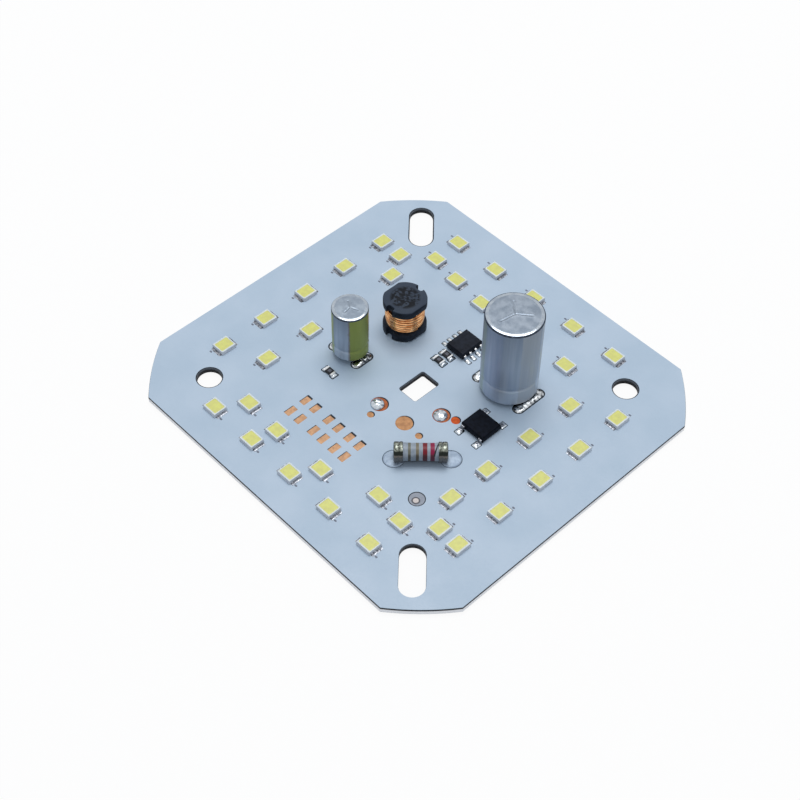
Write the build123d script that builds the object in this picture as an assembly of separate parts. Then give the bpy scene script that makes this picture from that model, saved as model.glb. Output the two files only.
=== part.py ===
"""Driver-on-board LED module: an aluminium-cored board with 40 LEDs and its mains driver on the top face.

Millimetres. The origin is at the middle of the board's underside, +Z is the lit side, and +X runs along the
board's longer side. Every part is placed from the sizes below.
"""
import os
from math import radians, tan

from build123d import *

os.makedirs("parts", exist_ok=True)

# Board outline: a rectangle whose corners are cut by one circle, outside the fixing slots
BOARD_X = 74.3
BOARD_Y = 70.6
BOARD_T = 1.2
FIXING_CIRCLE_D = 70.7
FIXING_HOLE_D = 4.3
SLOT_W = 4.3
SLOT_TRAVEL = 5.6
CORNER_WALL = 2.3
DIAGONAL = 45
WIRE_HOLE = (3.9, 5.6)
WIRE_HOLE_AT = (0.75, -0.3)

# Bare copper. Each row of straps stands one step inside the bottom row of LEDs.
COPPER_T = 0.05
STRAP = (1.25, 2.1)
STRAP_PAIR_X = (-8.8, -3.05, 2.1)
STRAP_PITCH_X = 2.42
STRAP_ROW_STEP = (8.93, 12.35)
LAND_D = 3.15
LAND_NEAR_AT = (-0.95, -7.84)
LAND_SPARE_AT = (4.9, -7.6)
LAND_FAR_AT = (7.9, -1.95)
DOT_D = 1.35
DOT_NEAR_AT = (-0.3, -10.45)
DOT_SPARE_AT = (8.5, -7.75)
DOT_FAR_AT = (10.1, -1.15)
FIDUCIAL_D = 1.25
FIDUCIAL_AT = (17.38, -17.3)

# LED package and its rows. A ring LED stands at its own distance from the board's middle lines, and a
# paired LED stands one step inside the outer row. Each place is (distance or step, place along the row).
LED_L = 3.5
LED_W = 2.8
LED_H = 0.75
LED_DRAFT = 5
LED_TERMINAL = (0.18, 2.1, 0.2)
CUP_RIM = (2.75, 2.35)
CUP_DEPTH = 0.45
CUP_FLARE = 24
PHOSPHOR_BELOW_RIM = 0.04
OUTER_INSET_X = 8.52
OUTER_INSET_Y = 6.65
OUTER_PITCH_X = 9.47
OUTER_PITCH_Y = 9.35
OUTER_PER_SIDE = 5
RING_LEFT = ((21.2, -15.2), (21.2, -5.4), (20.95, 3.9), (21.2, 14.05))
PAIRED_LEFT = ((4.73, 18.6),)
RING_RIGHT = ((21.42, -13.05), (21.42, -4.8), (21.42, 5.1), (21.42, 15.0))
PAIRED_RIGHT = ((4.23, -18.55),)
RING_BOTTOM = ((21.2, 13.2), (22.25, 19.2))
PAIRED_BOTTOM = ((4.7, -15.7), (4.2, -8.0), (4.2, 2.9))
RING_TOP = ((21.7, -12.5), (20.95, -5.4), (21.05, 4.65), (21.05, 14.65))
PAIRED_TOP = ((5.95, -18.7),)

# Upright capacitors
CAN_TOP_EDGE = 0.35
CAN_FOOT_W = 0.8
BEAD_W = 1.1
SEAL_PROUD = 0.05
SCORE_W = 0.24
SCORE_DEPTH = 0.08
LEAD_CLEARANCE = 0.05

BULK_D = 10.0
BULK_H = 17.1
BULK_STANDOFF = 0.65
BULK_AT = (10.94, 10.93)
BULK_BEAD_UP = 3.6
BULK_BEAD_DEPTH = 0.2
BULK_SEAL_H = 2.4
BULK_LEAD_D = 0.5
BULK_LEAD_PITCH = 5.0
BULK_LEAD_REACH = 5.2
BULK_PAD = (6.8, 1.9)
BULK_PAD_OFFSET = 4.75
BULK_SCORE_L = 3.0
BULK_SCORE_ANGLES = (40, 140, 260)

FILTER_D = 6.35
FILTER_H = 10.2
FILTER_STANDOFF = 0.95
FILTER_AT = (-13.0, -3.43)
FILTER_BEAD_UP = 2.3
FILTER_BEAD_DEPTH = 0.15
FILTER_SEAL_H = 1.7
FILTER_LEAD_D = 0.5
FILTER_LEAD_PITCH = 2.5
FILTER_LEAD_REACH = 3.0
FILTER_PAD = (4.3, 1.7)
FILTER_PAD_OFFSET = 2.85
FILTER_SCORE_L = 1.9
FILTER_SCORE_ANGLES = (35, 155, 275)

# Drum-core inductor
CORE_L = 7.7
CORE_W = 6.95
CORE_AT = (-10.85, 7.37)
CORE_TOP_T = 1.6
CORE_BASE_T = 1.5
CORE_H = 7.4
CORE_HUB_D = 3.6
CORE_EDGE = 0.15
NOTCH_W = 1.4
NOTCH_DEPTH = 0.75
CORE_FOOT_T = 0.2
CORE_FOOT_W = 1.7
WINDING_D = 6.9
WINDING_BULGE = 0.15
WINDING_TURNS = 3
TURN_GROOVE = 0.14

# Eight-lead driver chip and four-lead bridge rectifier
CHIP_BODY = (3.9, 4.9)
CHIP_H = 1.45
CHIP_AT = (-0.3, 11.6)
CHIP_SPAN = 6.0
CHIP_LEADS_PER_SIDE = 4
CHIP_PITCH = 1.27
CHIP_LEAD_W = 0.42
CHIP_LEAD_T = 0.2
CHIP_FOOT = 0.65
CHIP_DIMPLE_D = 0.7

BRIDGE_BODY = (4.4, 5.0)
BRIDGE_H = 1.35
BRIDGE_AT = (14.35, 0.85)
BRIDGE_SPAN = 6.6
BRIDGE_LEADS_PER_SIDE = 2
BRIDGE_PITCH = 4.0
BRIDGE_LEAD_W = 0.7
BRIDGE_LEAD_T = 0.22
BRIDGE_FOOT = 0.75

BODY_STANDOFF = 0.1
BODY_DRAFT = 8
LEAD_INSET = 0.3
LEAD_SHOULDER = 0.2
LEAD_FALL = 0.22
LEAD_FOLD = 0.07
DIMPLE_DEPTH = 0.05

# Fusible resistor
FUSIBLE_L = 8.9
FUSIBLE_BODY_D = 3.15
FUSIBLE_CAP_D = 3.5
FUSIBLE_CAP_L = 1.55
FUSIBLE_CAP_END_T = 0.3
FUSIBLE_AT = (12.15, -10.95)
FUSIBLE_ANGLE = 46.5
FUSIBLE_LIFT = 0.05
FUSIBLE_PAD_D = 3.6
FUSIBLE_PAD_OFFSET = 5.0

# Chip resistors
RESISTOR = (2.0, 1.25, 0.5)
RESISTOR_END = 0.38
RESISTOR_PLATING = 0.04
RESISTOR_AT = ((-1.05, 6.2), (-1.0, 8.05), (-11.9, -9.25))

# Solder
MOUND_H = 0.38
DOME_H = 0.75
DOME_TOP_SHARE = 0.5
DOME_NEAR_D = 2.2
DOME_NEAR_SHIFT = (-0.1, -0.38)
DOME_FAR_D = 2.5
DOME_FAR_SHIFT = (-0.06, -0.24)
FUSIBLE_MOUND_H = 0.45
FUSIBLE_MOUND_SLOPE = 50
SOLDER_TOE_L = 0.45
SOLDER_TOE_H = 0.32

TOP = BOARD_T
CORNER_CIRCLE_D = FIXING_CIRCLE_D + 2 * SLOT_TRAVEL + SLOT_W + 2 * CORNER_WALL
OUTER_ROW_X = BOARD_X / 2 - OUTER_INSET_X
OUTER_ROW_Y = BOARD_Y / 2 - OUTER_INSET_Y


def save(name, *shapes):
    """Write one node, as one solid or as a group of separate solids."""
    solids = [solid for shape in shapes for solid in shape.solids()]
    body = solids[0] if len(solids) == 1 else Compound(solids)
    export_step(body, f"parts/{name}.step")


def at(place, z=0.0):
    """A move to a point of the board."""
    return Pos(place[0], place[1], z)


def moved(place, shift):
    """A point moved by a shift."""
    return (place[0] + shift[0], place[1] + shift[1])


def circuit_board():
    """Board plate with its fixing holes, slots and wire hole."""
    plate = Rectangle(BOARD_X, BOARD_Y) & Circle(CORNER_CIRCLE_D / 2)
    for side in (0, 180):
        turn = Rot(0, 0, DIAGONAL + side)
        plate -= turn * Pos(FIXING_CIRCLE_D / 2, 0) * Circle(FIXING_HOLE_D / 2)
        slot = SlotCenterToCenter(SLOT_TRAVEL, SLOT_W)
        plate -= Rot(0, 0, 90) * turn * Pos((FIXING_CIRCLE_D + SLOT_TRAVEL) / 2, 0) * slot
    plate -= at(WIRE_HOLE_AT) * Rectangle(*WIRE_HOLE)
    return extrude(plate, BOARD_T)


def copper_lands():
    """Link straps in three pairs and two rows, wire lands, probe dots and the fiducial dot."""
    half = STRAP_PITCH_X / 2
    for step in STRAP_ROW_STEP:
        for pair in STRAP_PAIR_X:
            for x in (pair - half, pair + half):
                yield at((x, step - OUTER_ROW_Y), TOP) * extrude(Rectangle(*STRAP), COPPER_T)
    discs = (
        (LAND_D, (LAND_NEAR_AT, LAND_SPARE_AT, LAND_FAR_AT)),
        (DOT_D, (DOT_NEAR_AT, DOT_SPARE_AT, DOT_FAR_AT)),
        (FIDUCIAL_D, (FIDUCIAL_AT,)),
    )
    for diameter, places in discs:
        for place in places:
            yield at(place, TOP) * extrude(Circle(diameter / 2), COPPER_T)


# LED: moulded housing with a flared cup, phosphor fill and two terminals

def led():
    """One LED, its long axis along X and its base at z = 0."""
    reach, width, thick = LED_TERMINAL
    block = extrude(Rectangle(LED_L - 2 * reach, LED_W), LED_H, taper=LED_DRAFT)
    terminals = []
    for side in (-1, 1):
        tab = Pos(side * (LED_L / 2 - reach), 0, thick / 2) * Box(2 * reach, width, thick)
        terminals.append(tab - block)
    rim_l, rim_w = CUP_RIM
    inset = CUP_DEPTH * tan(radians(CUP_FLARE))
    cup = Wedge(rim_l, CUP_DEPTH, rim_w, inset, inset, rim_l - inset, rim_w - inset,
                align=(Align.CENTER, Align.MIN, Align.CENTER))
    cup = Pos(0, 0, LED_H) * Rot(-90, 0, 0) * cup
    filled = extrude(Rectangle(LED_L, LED_W), LED_H - PHOSPHOR_BELOW_RIM)
    return Compound([part.solid() for part in (block - cup, cup & filled, *terminals)])


def inner_row(outer_row, ring, paired):
    """Distance from the middle line and place along it of a side's inner LEDs, in order along the side."""
    places = list(ring) + [(outer_row - step, along) for step, along in paired]
    return sorted(places, key=lambda place: place[1])


def led_places():
    """Name, place and turn of every LED, side by side."""
    sides = {
        "left": (-1, 90, OUTER_ROW_X, OUTER_PITCH_Y, inner_row(OUTER_ROW_X, RING_LEFT, PAIRED_LEFT)),
        "right": (1, 90, OUTER_ROW_X, OUTER_PITCH_Y, inner_row(OUTER_ROW_X, RING_RIGHT, PAIRED_RIGHT)),
        "bottom": (-1, 0, OUTER_ROW_Y, OUTER_PITCH_X, inner_row(OUTER_ROW_Y, RING_BOTTOM, PAIRED_BOTTOM)),
        "top": (1, 0, OUTER_ROW_Y, OUTER_PITCH_X, inner_row(OUTER_ROW_Y, RING_TOP, PAIRED_TOP)),
    }
    for side, (sign, turn, outer_row, pitch, inner) in sides.items():
        outer = [(outer_row, (index - (OUTER_PER_SIDE - 1) / 2) * pitch) for index in range(OUTER_PER_SIDE)]
        for row, places in (("outer", outer), ("inner", inner)):
            for index, (away, along) in enumerate(places):
                place = (sign * away, along) if turn else (along, sign * away)
                yield f"led_{row}_{side}_{index + 1}", place, turn


# Upright capacitors

def can(diameter, height, bead_up, bead_depth, seal_h, score_l, score_angles):
    """Aluminium can with a bead groove, a bevelled shoulder and a scored flat top, its foot at z = 0."""
    r = diameter / 2
    bore_r = r - CAN_FOOT_W
    half_bead = BEAD_W / 2
    profile = Polyline((0, seal_h), (0, height), (r - CAN_TOP_EDGE, height), (r, height - CAN_TOP_EDGE),
                       (r, bead_up + half_bead), (r - bead_depth, bead_up), (r, bead_up - half_bead),
                       (r, 0), (bore_r, 0), (bore_r, seal_h), close=True)
    solid = revolve(Plane.XZ * make_face(profile), Axis.Z)
    for angle in score_angles:
        arm = Rot(0, 0, angle) * Pos(score_l / 2, 0) * Rectangle(score_l + SCORE_W, SCORE_W)
        solid -= Pos(0, 0, height - SCORE_DEPTH) * extrude(arm, SCORE_DEPTH)
    return solid


def seal(diameter, seal_h):
    """Rubber seal that fills the foot of the can and stands a little proud of it."""
    return Pos(0, 0, -SEAL_PROUD) * extrude(Circle(diameter / 2 - CAN_FOOT_W), SEAL_PROUD + seal_h)


def bent_lead(standoff, lead_d, pitch, reach):
    """Lead that leaves the seal's face, bends outward and lies over its pad, towards +X."""
    low = lead_d / 2 + LEAD_CLEARANCE - standoff
    x = pitch / 2
    route = Polyline((x, 0, -SEAL_PROUD), (x, 0, low), (reach, 0, low))
    return sweep(Pos(x, 0, -SEAL_PROUD) * Circle(lead_d / 2), path=route, transition=Transition.RIGHT)


def capacitor(place, diameter, height, standoff, bead, seal_h, lead, pad, score):
    """Can, seal, leads and solder mounds of one capacitor."""
    set_down = at(place, TOP + standoff)
    pad_size, pad_offset = pad
    leads = [set_down * Rot(0, 0, turn) * bent_lead(standoff, *lead) for turn in (0, 180)]
    mounds = []
    for side, wire in zip((1, -1), leads):
        outline = Pos(side * pad_offset, 0) * Rot(0, 0, 90) * SlotOverall(*pad_size)
        mounds.append(at(place, TOP) * extrude(outline, MOUND_H) - wire)
    shell = can(diameter, height, *bead, seal_h, *score)
    return set_down * shell, set_down * seal(diameter, seal_h), leads, mounds


# Inductor

def core_outline():
    """Flange outline: a disc with two flats and a wire notch at each end."""
    outline = Circle(CORE_L / 2) & Rectangle(CORE_W, CORE_L)
    for side in (-1, 1):
        outline -= Pos(0, side * CORE_L / 2) * Rectangle(NOTCH_W, 2 * NOTCH_DEPTH)
    return outline


def inductor():
    """Drum core, winding and terminals."""
    outline = core_outline()
    core_h = CORE_H - CORE_FOOT_T
    base = extrude(outline, CORE_BASE_T)
    lid = extrude(outline, CORE_TOP_T)
    lid = chamfer(lid.faces().sort_by(Axis.Z)[-1].edges(), CORE_EDGE)
    hub = extrude(Circle(CORE_HUB_D / 2), core_h)
    core = base + hub + Pos(0, 0, core_h - CORE_TOP_T) * lid
    feet = []
    for side in (-1, 1):
        band = Pos(0, side * (CORE_L - CORE_FOOT_W) / 2) * Rectangle(CORE_W, CORE_FOOT_W)
        feet.append(at(CORE_AT, TOP) * extrude(outline & band, CORE_FOOT_T))
    return at(CORE_AT, TOP + CORE_FOOT_T) * core, at(CORE_AT, TOP + CORE_FOOT_T) * winding(core_h), feet


def winding(core_h):
    """Barrel of wire between the flanges, ridged by its outer turns."""
    low = CORE_BASE_T
    high = core_h - CORE_TOP_T
    pitch = (high - low) / WINDING_TURNS
    edge = [(CORE_HUB_D / 2, low)]
    for turn in range(WINDING_TURNS):
        for part, inset in ((0.0, TURN_GROOVE), (0.5, 0.0)):
            along = (turn + part) / WINDING_TURNS
            bulge = WINDING_BULGE * (2 * along - 1) ** 2
            edge.append((WINDING_D / 2 - bulge - inset, low + (turn + part) * pitch))
    edge.append((WINDING_D / 2 - WINDING_BULGE - TURN_GROOVE, high))
    edge.append((CORE_HUB_D / 2, high))
    return revolve(Plane.XZ * make_face(Polyline(*edge, close=True)), Axis.Z)


# Moulded packages with gull-wing leads

def moulded_body(size, height):
    """Body with draft above and below its parting line, its leads along +X and -X."""
    parting = BODY_STANDOFF + (height - BODY_STANDOFF) / 2
    half = (height - BODY_STANDOFF) / 2
    upper = extrude(Rectangle(*size), half, taper=BODY_DRAFT)
    return Pos(0, 0, parting) * (upper + mirror(upper, Plane.XY))


def gull_lead(size, height, span, width, thick, foot):
    """Lead that leaves the parting line, falls and turns out into a foot, towards +X."""
    start = size[0] / 2
    parting = (height + BODY_STANDOFF) / 2
    toe = span / 2
    knee = start + LEAD_SHOULDER
    heel = max(toe - foot, knee + LEAD_FALL / 2)
    root = start - LEAD_INSET
    upper = parting + thick / 2
    lower = parting - thick / 2
    profile = Polyline((root, upper), (knee, upper), (heel, thick), (toe, thick), (toe, 0), (heel - thick, 0),
                       (knee - thick, lower), (root, lower), close=True)
    face = make_face(profile)
    bends = [v for v in face.vertices() if start < v.X < toe - thick and v.Y > thick / 2]
    face = chamfer(bends, LEAD_FOLD)
    return Pos(0, width / 2, 0) * extrude(Plane.XZ * face, width)


def package(place, turn, size, height, span, count, pitch, width, thick, foot):
    """Moulded body and its leads on both sides."""
    leads = []
    for side in (0, 180):
        for index in range(count):
            y = (index - (count - 1) / 2) * pitch
            leads.append(Rot(0, 0, side) * Pos(0, y, 0) * gull_lead(size, height, span, width, thick, foot))
    body = moulded_body(size, height)
    for lead in leads:
        body -= lead
    set_down = at(place, TOP) * Rot(0, 0, turn)
    return set_down * body, [set_down * lead for lead in leads]


# Fusible resistor

def turned(profile):
    """Solid of revolution about X from a list of (x, radius) points."""
    return revolve(make_face(Polyline(*profile, close=True)), Axis.X)


def fusible_resistor():
    """Coated body, two end caps and their solder, lying along the board's diagonal."""
    end = FUSIBLE_L / 2
    bore_end = end - FUSIBLE_CAP_END_T
    mouth = end - FUSIBLE_CAP_L
    cap_r = FUSIBLE_CAP_D / 2
    edge = FUSIBLE_CAP_END_T / 2
    body_r = FUSIBLE_BODY_D / 2
    body = turned([(-bore_end, 0), (-bore_end, body_r), (bore_end, body_r), (bore_end, 0)])
    cap = turned([(mouth, body_r), (mouth, cap_r), (end - edge, cap_r), (end, cap_r - edge), (end, 0),
                  (bore_end, 0), (bore_end, body_r)])
    lie = at(FUSIBLE_AT, TOP + FUSIBLE_LIFT + cap_r) * Rot(0, 0, FUSIBLE_ANGLE)
    caps = [lie * Rot(0, 0, turn) * cap for turn in (0, 180)]
    mounds = []
    for turn, piece in zip((0, 180), caps):
        pad = at(FUSIBLE_AT, TOP) * Rot(0, 0, FUSIBLE_ANGLE + turn) * Pos(FUSIBLE_PAD_OFFSET, 0)
        mound = pad * extrude(Circle(FUSIBLE_PAD_D / 2), FUSIBLE_MOUND_H, taper=FUSIBLE_MOUND_SLOPE)
        inside = lie * Rot(0, 90, 0) * Cylinder(cap_r, FUSIBLE_L)
        mounds.append(mound - inside)
    return lie * body, caps, mounds


# Chip resistors

def chip_resistor(place):
    """Ceramic body, plated ends and solder wedges of one resistor."""
    length, width, height = RESISTOR
    body = Pos(0, 0, height / 2) * Box(length - 2 * RESISTOR_END, width - 2 * RESISTOR_PLATING, height)
    ends = []
    wedges = []
    for side in (1, -1):
        middle = side * (length - RESISTOR_END) / 2
        ends.append(Pos(middle, 0, height / 2) * Box(RESISTOR_END, width, height))
        heel = side * length / 2
        toe = heel + side * SOLDER_TOE_L
        wedge = make_face(Polyline((heel, 0), (toe, 0), (heel, SOLDER_TOE_H), close=True))
        wedges.append(Pos(0, width / 2, 0) * extrude(Plane.XZ * wedge, width))
    set_down = at(place, TOP)
    return set_down * body, [set_down * end for end in ends], [set_down * wedge for wedge in wedges]


# Solder domes on the wire lands

def dome(place, shift, diameter):
    """Solder dome on the copper of a wire land, flat on top."""
    foot_r = diameter / 2
    cap = Cone(foot_r, foot_r * DOME_TOP_SHARE, DOME_H, align=(Align.CENTER, Align.CENTER, Align.MIN))
    return at(moved(place, shift), TOP + COPPER_T) * cap


def main():
    """Build every piece and write it to its node."""
    save("circuit_board", circuit_board())
    save("copper_lands", *copper_lands())

    lamp = led()
    for name, place, turn in led_places():
        save(name, at(place, TOP) * Rot(0, 0, turn) * lamp)

    bulk = capacitor(BULK_AT, BULK_D, BULK_H, BULK_STANDOFF, (BULK_BEAD_UP, BULK_BEAD_DEPTH), BULK_SEAL_H,
                     (BULK_LEAD_D, BULK_LEAD_PITCH, BULK_LEAD_REACH), (BULK_PAD, BULK_PAD_OFFSET),
                     (BULK_SCORE_L, BULK_SCORE_ANGLES))
    small = capacitor(FILTER_AT, FILTER_D, FILTER_H, FILTER_STANDOFF, (FILTER_BEAD_UP, FILTER_BEAD_DEPTH),
                      FILTER_SEAL_H, (FILTER_LEAD_D, FILTER_LEAD_PITCH, FILTER_LEAD_REACH),
                      (FILTER_PAD, FILTER_PAD_OFFSET), (FILTER_SCORE_L, FILTER_SCORE_ANGLES))
    for name, (shell, plug, leads, _) in (("bulk", bulk), ("filter", small)):
        save(f"{name}_capacitor_can", shell)
        save(f"{name}_capacitor_seal", plug)
        save(f"{name}_capacitor_leads", *leads)

    core, coil, feet = inductor()
    save("inductor_core", core)
    save("inductor_winding", coil)
    save("inductor_terminals", *feet)

    chip, chip_leads = package(CHIP_AT, 0, CHIP_BODY, CHIP_H, CHIP_SPAN, CHIP_LEADS_PER_SIDE, CHIP_PITCH,
                               CHIP_LEAD_W, CHIP_LEAD_T, CHIP_FOOT)
    corner = (CHIP_BODY[0] / 2 - CHIP_DIMPLE_D, CHIP_DIMPLE_D - CHIP_BODY[1] / 2)
    dimple = extrude(Circle(CHIP_DIMPLE_D / 2), DIMPLE_DEPTH)
    chip -= at(moved(CHIP_AT, corner), TOP + CHIP_H - DIMPLE_DEPTH) * dimple
    save("driver_chip_body", chip)
    save("driver_chip_leads", *chip_leads)

    bridge, bridge_leads = package(BRIDGE_AT, 90, BRIDGE_BODY, BRIDGE_H, BRIDGE_SPAN, BRIDGE_LEADS_PER_SIDE,
                                   BRIDGE_PITCH, BRIDGE_LEAD_W, BRIDGE_LEAD_T, BRIDGE_FOOT)
    save("bridge_rectifier_body", bridge)
    save("bridge_rectifier_leads", *bridge_leads)

    rod, caps, cap_mounds = fusible_resistor()
    save("fusible_resistor_body", rod)
    save("fusible_resistor_caps", *caps)

    resistors = [chip_resistor(place) for place in RESISTOR_AT]
    save("chip_resistor_bodies", *(body for body, _, _ in resistors))
    save("chip_resistor_ends", *(end for _, ends, _ in resistors for end in ends))

    domes = [dome(LAND_NEAR_AT, DOME_NEAR_SHIFT, DOME_NEAR_D), dome(LAND_FAR_AT, DOME_FAR_SHIFT, DOME_FAR_D)]
    wedges = [wedge for _, _, pair in resistors for wedge in pair]
    save("solder_joints", *bulk[3], *small[3], *cap_mounds, *wedges, *domes)


if __name__ == "__main__":
    main()
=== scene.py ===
# %% [markdown]
# # Driver-on-board LED module
# The object is a small circuit board with forty LEDs round its edge and the parts of its own mains supply in
# the middle. Its solids are already made at their real size, and they load here as a fixed frame. This script
# gives each piece the surface that the real one has, and lights and films it as the photograph does.

# %% Load the frame
import math

import bmesh
import bpy
from mathutils import Matrix, Vector, geometry, noise


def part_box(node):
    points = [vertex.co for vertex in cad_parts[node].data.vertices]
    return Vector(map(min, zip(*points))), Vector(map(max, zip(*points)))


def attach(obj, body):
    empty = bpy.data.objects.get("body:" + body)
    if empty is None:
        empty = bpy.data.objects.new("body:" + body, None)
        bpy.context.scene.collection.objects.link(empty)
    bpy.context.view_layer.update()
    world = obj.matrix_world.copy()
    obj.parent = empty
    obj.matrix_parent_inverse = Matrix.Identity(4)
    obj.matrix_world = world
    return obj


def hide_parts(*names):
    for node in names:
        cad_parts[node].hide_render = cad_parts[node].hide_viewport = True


MM = 0.001
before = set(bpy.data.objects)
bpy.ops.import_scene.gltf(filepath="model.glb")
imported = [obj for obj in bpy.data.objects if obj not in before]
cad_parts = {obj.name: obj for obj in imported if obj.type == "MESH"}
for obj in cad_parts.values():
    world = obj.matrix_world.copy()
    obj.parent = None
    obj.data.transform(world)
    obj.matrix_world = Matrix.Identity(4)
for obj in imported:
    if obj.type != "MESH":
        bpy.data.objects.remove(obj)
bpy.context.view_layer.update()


def span(node):
    """Lowest corner, highest corner and middle of a solid, in millimetres."""
    low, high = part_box(node)
    return low / MM, high / MM, (low + high) / 2 / MM


BOARD_HIGH = span("circuit_board")[1]
TOP = BOARD_HIGH.z
print(len(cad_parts), "solids, board top at", round(TOP, 2), "mm")

# %% [markdown]
# ## Camera
# The photograph was taken from above one corner, about 27 cm away. A camera could be placed by angles, but a
# place and an aim in millimetres are easier to check. A slight roll is left, because it was held by hand.

# %% Camera
AIM = Vector((0.745, -4.746, TOP))
CAMERA_AT = Vector((125.13, -125.76, 207.53))
CAMERA_ROLL = 0.965
LENS, SENSOR_W = 72.09, 36
NEAREST = 0.01

lens = bpy.data.cameras.new("camera")
lens.lens, lens.sensor_width, lens.clip_start = LENS, SENSOR_W, NEAREST
camera = bpy.data.objects.new("camera", lens)
bpy.context.scene.collection.objects.link(camera)
look = (AIM - CAMERA_AT).to_track_quat("-Z", "Y").to_matrix().to_4x4()
roll = Matrix.Rotation(math.radians(CAMERA_ROLL), 4, "Z")
camera.matrix_world = Matrix.Translation(CAMERA_AT * MM) @ look @ roll
bpy.context.scene.camera = camera
print("camera is", round((AIM - CAMERA_AT).length), "mm from its aim")

# %% [markdown]
# ## Colours and nodes
# A colour on a screen is written in sRGB, and a renderer adds light in linear values, so one function turns a
# hex colour into a linear one. A second function adds a node with its settings and links, for shaders and for
# geometry alike. A node given as an input stands for its first output.

# %% Colour and node helpers
MIX_A, MIX_B, MIX_OUT = 6, 7, 2


def linear(code):
    """Linear colour of an sRGB hex code such as '8090A0'."""
    parts = [int(code[i:i + 2], 16) / 255 for i in (0, 2, 4)]
    return (*[p / 12.92 if p < 0.04045 else ((p + 0.055) / 1.055) ** 2.4 for p in parts], 1.0)


def add(tree, kind, inputs=None, **settings):
    """Add one node. An input is a number, a colour, another node or one of its sockets."""
    node = tree.nodes.new(kind)
    for name, value in settings.items():
        setattr(node, name, value)
    for key, value in (inputs or {}).items():
        if isinstance(value, bpy.types.Node):
            value = value.outputs[0]
        if isinstance(value, bpy.types.NodeSocket):
            tree.links.new(value, node.inputs[key])
        else:
            node.inputs[key].default_value = value
    return node


print("mid grey 808080 is", round(linear("808080")[0], 3), "in linear light")

# %% [markdown]
# ## A surface with two tones
# Every real surface is uneven: it has cloudy patches of two close tones, a finer grain that changes its gloss,
# and a texture that catches light. Pictures could give these, but noise on Object coordinates needs no file and
# stays fixed to the piece. `surface` makes the three, each at a size in millimetres, and `tint` paints more
# colour over them along a coordinate of the piece.

# %% Common build of a material
NOISE_LOW, NOISE_HIGH = 0.36, 0.64


def surface(name, dark, light, patch, grain, rough, bump, metallic=0.0, specular=0.5, stretch=(1, 1, 1)):
    """Material with cloudy tones, a grain in its gloss and a fine relief."""
    material = bpy.data.materials.new(name)
    material.use_nodes = True
    tree = material.node_tree
    bsdf = tree.nodes["Principled BSDF"]
    place = add(tree, "ShaderNodeTexCoord").outputs["Object"]
    grid = add(tree, "ShaderNodeMapping", {"Vector": place, "Scale": stretch})
    cloud = add(tree, "ShaderNodeTexNoise", {"Vector": grid, "Scale": 1 / (patch * MM), "Detail": 4.0})
    fine = add(tree, "ShaderNodeTexNoise", {"Vector": grid, "Scale": 1 / (grain * MM), "Detail": 3.0})
    share = add(tree, "ShaderNodeMapRange", {0: cloud, 1: NOISE_LOW, 2: NOISE_HIGH})
    tone = add(tree, "ShaderNodeMix", {0: share, MIX_A: linear(dark), MIX_B: linear(light)}, data_type="RGBA")
    gloss = add(tree, "ShaderNodeMapRange", {0: fine, 1: NOISE_LOW, 2: NOISE_HIGH, 3: rough[0], 4: rough[1]})
    relief = add(tree, "ShaderNodeBump", {"Height": fine, "Distance": bump * MM, "Strength": 1.0})
    tree.links.new(tone.outputs[MIX_OUT], bsdf.inputs["Base Color"])
    tree.links.new(gloss.outputs[0], bsdf.inputs["Roughness"])
    tree.links.new(relief.outputs[0], bsdf.inputs["Normal"])
    bsdf.inputs["Metallic"].default_value = metallic
    bsdf.inputs["Specular IOR Level"].default_value = specular
    return material


def axes_from(material, middle=Vector(), turn=0.0):
    """X, Y and Z of a piece's own coordinates, from a point and along a direction turned by degrees."""
    tree = material.node_tree
    place = add(tree, "ShaderNodeTexCoord").outputs["Object"]
    moved = add(tree, "ShaderNodeMapping", {"Vector": place, "Location": -middle * MM})
    local = add(tree, "ShaderNodeMapping", {"Vector": moved, "Rotation": (0, 0, -math.radians(turn))})
    return add(tree, "ShaderNodeSeparateXYZ", {0: local}).outputs


def tint(material, code, value, start=0.0, full=1.0, most=1.0):
    """Paint a colour over a material: none where value is at start, the most of it where it is at full."""
    tree = material.node_tree
    base = tree.nodes["Principled BSDF"].inputs["Base Color"]
    share = add(tree, "ShaderNodeMapRange", {0: value, 1: start, 2: full, 4: most})
    painted = add(tree, "ShaderNodeMix", {0: share, MIX_A: base.links[0].from_socket, MIX_B: linear(code)},
                  data_type="RGBA")
    tree.links.new(painted.outputs[MIX_OUT], base)


print("noise is spread from", NOISE_LOW, "to", NOISE_HIGH)

# %% [markdown]
# ## Finishes of the board
# The board is rolled aluminium with a thin insulating layer, copper foil and a printed white-blue solder mask.
# Each is its own material, because light shows them as different things: a baked ink, a cut metal edge, a
# copper that a clear coat turns peach.

# %% Board materials
# Baked ink: smooth, half glossy and a little cloudy.
solder_mask = surface("baked_solder_mask", "ADC0D1", "B6C7D7", 9.0, 0.35, (0.42, 0.5), 0.002)
# Rolled sheet: fine lines along the rolling.
rolled_aluminium = surface("rolled_aluminium", "A9ACAF", "B9BCBF", 3.0, 0.25, (0.3, 0.42), 0.004, 1.0,
                           stretch=(0.15, 1, 1))
# Punched walls: nearly black, with a paler rim at the top.
punched_edge = surface("punched_aluminium_edge", "101216", "22262C", 0.5, 0.2, (0.5, 0.7), 0.03,
                       specular=0.15, stretch=(1, 1, 0.35))
tint(punched_edge, "5A6068", axes_from(punched_edge)[2], 0.68 * MM, 0.84 * MM)
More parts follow.
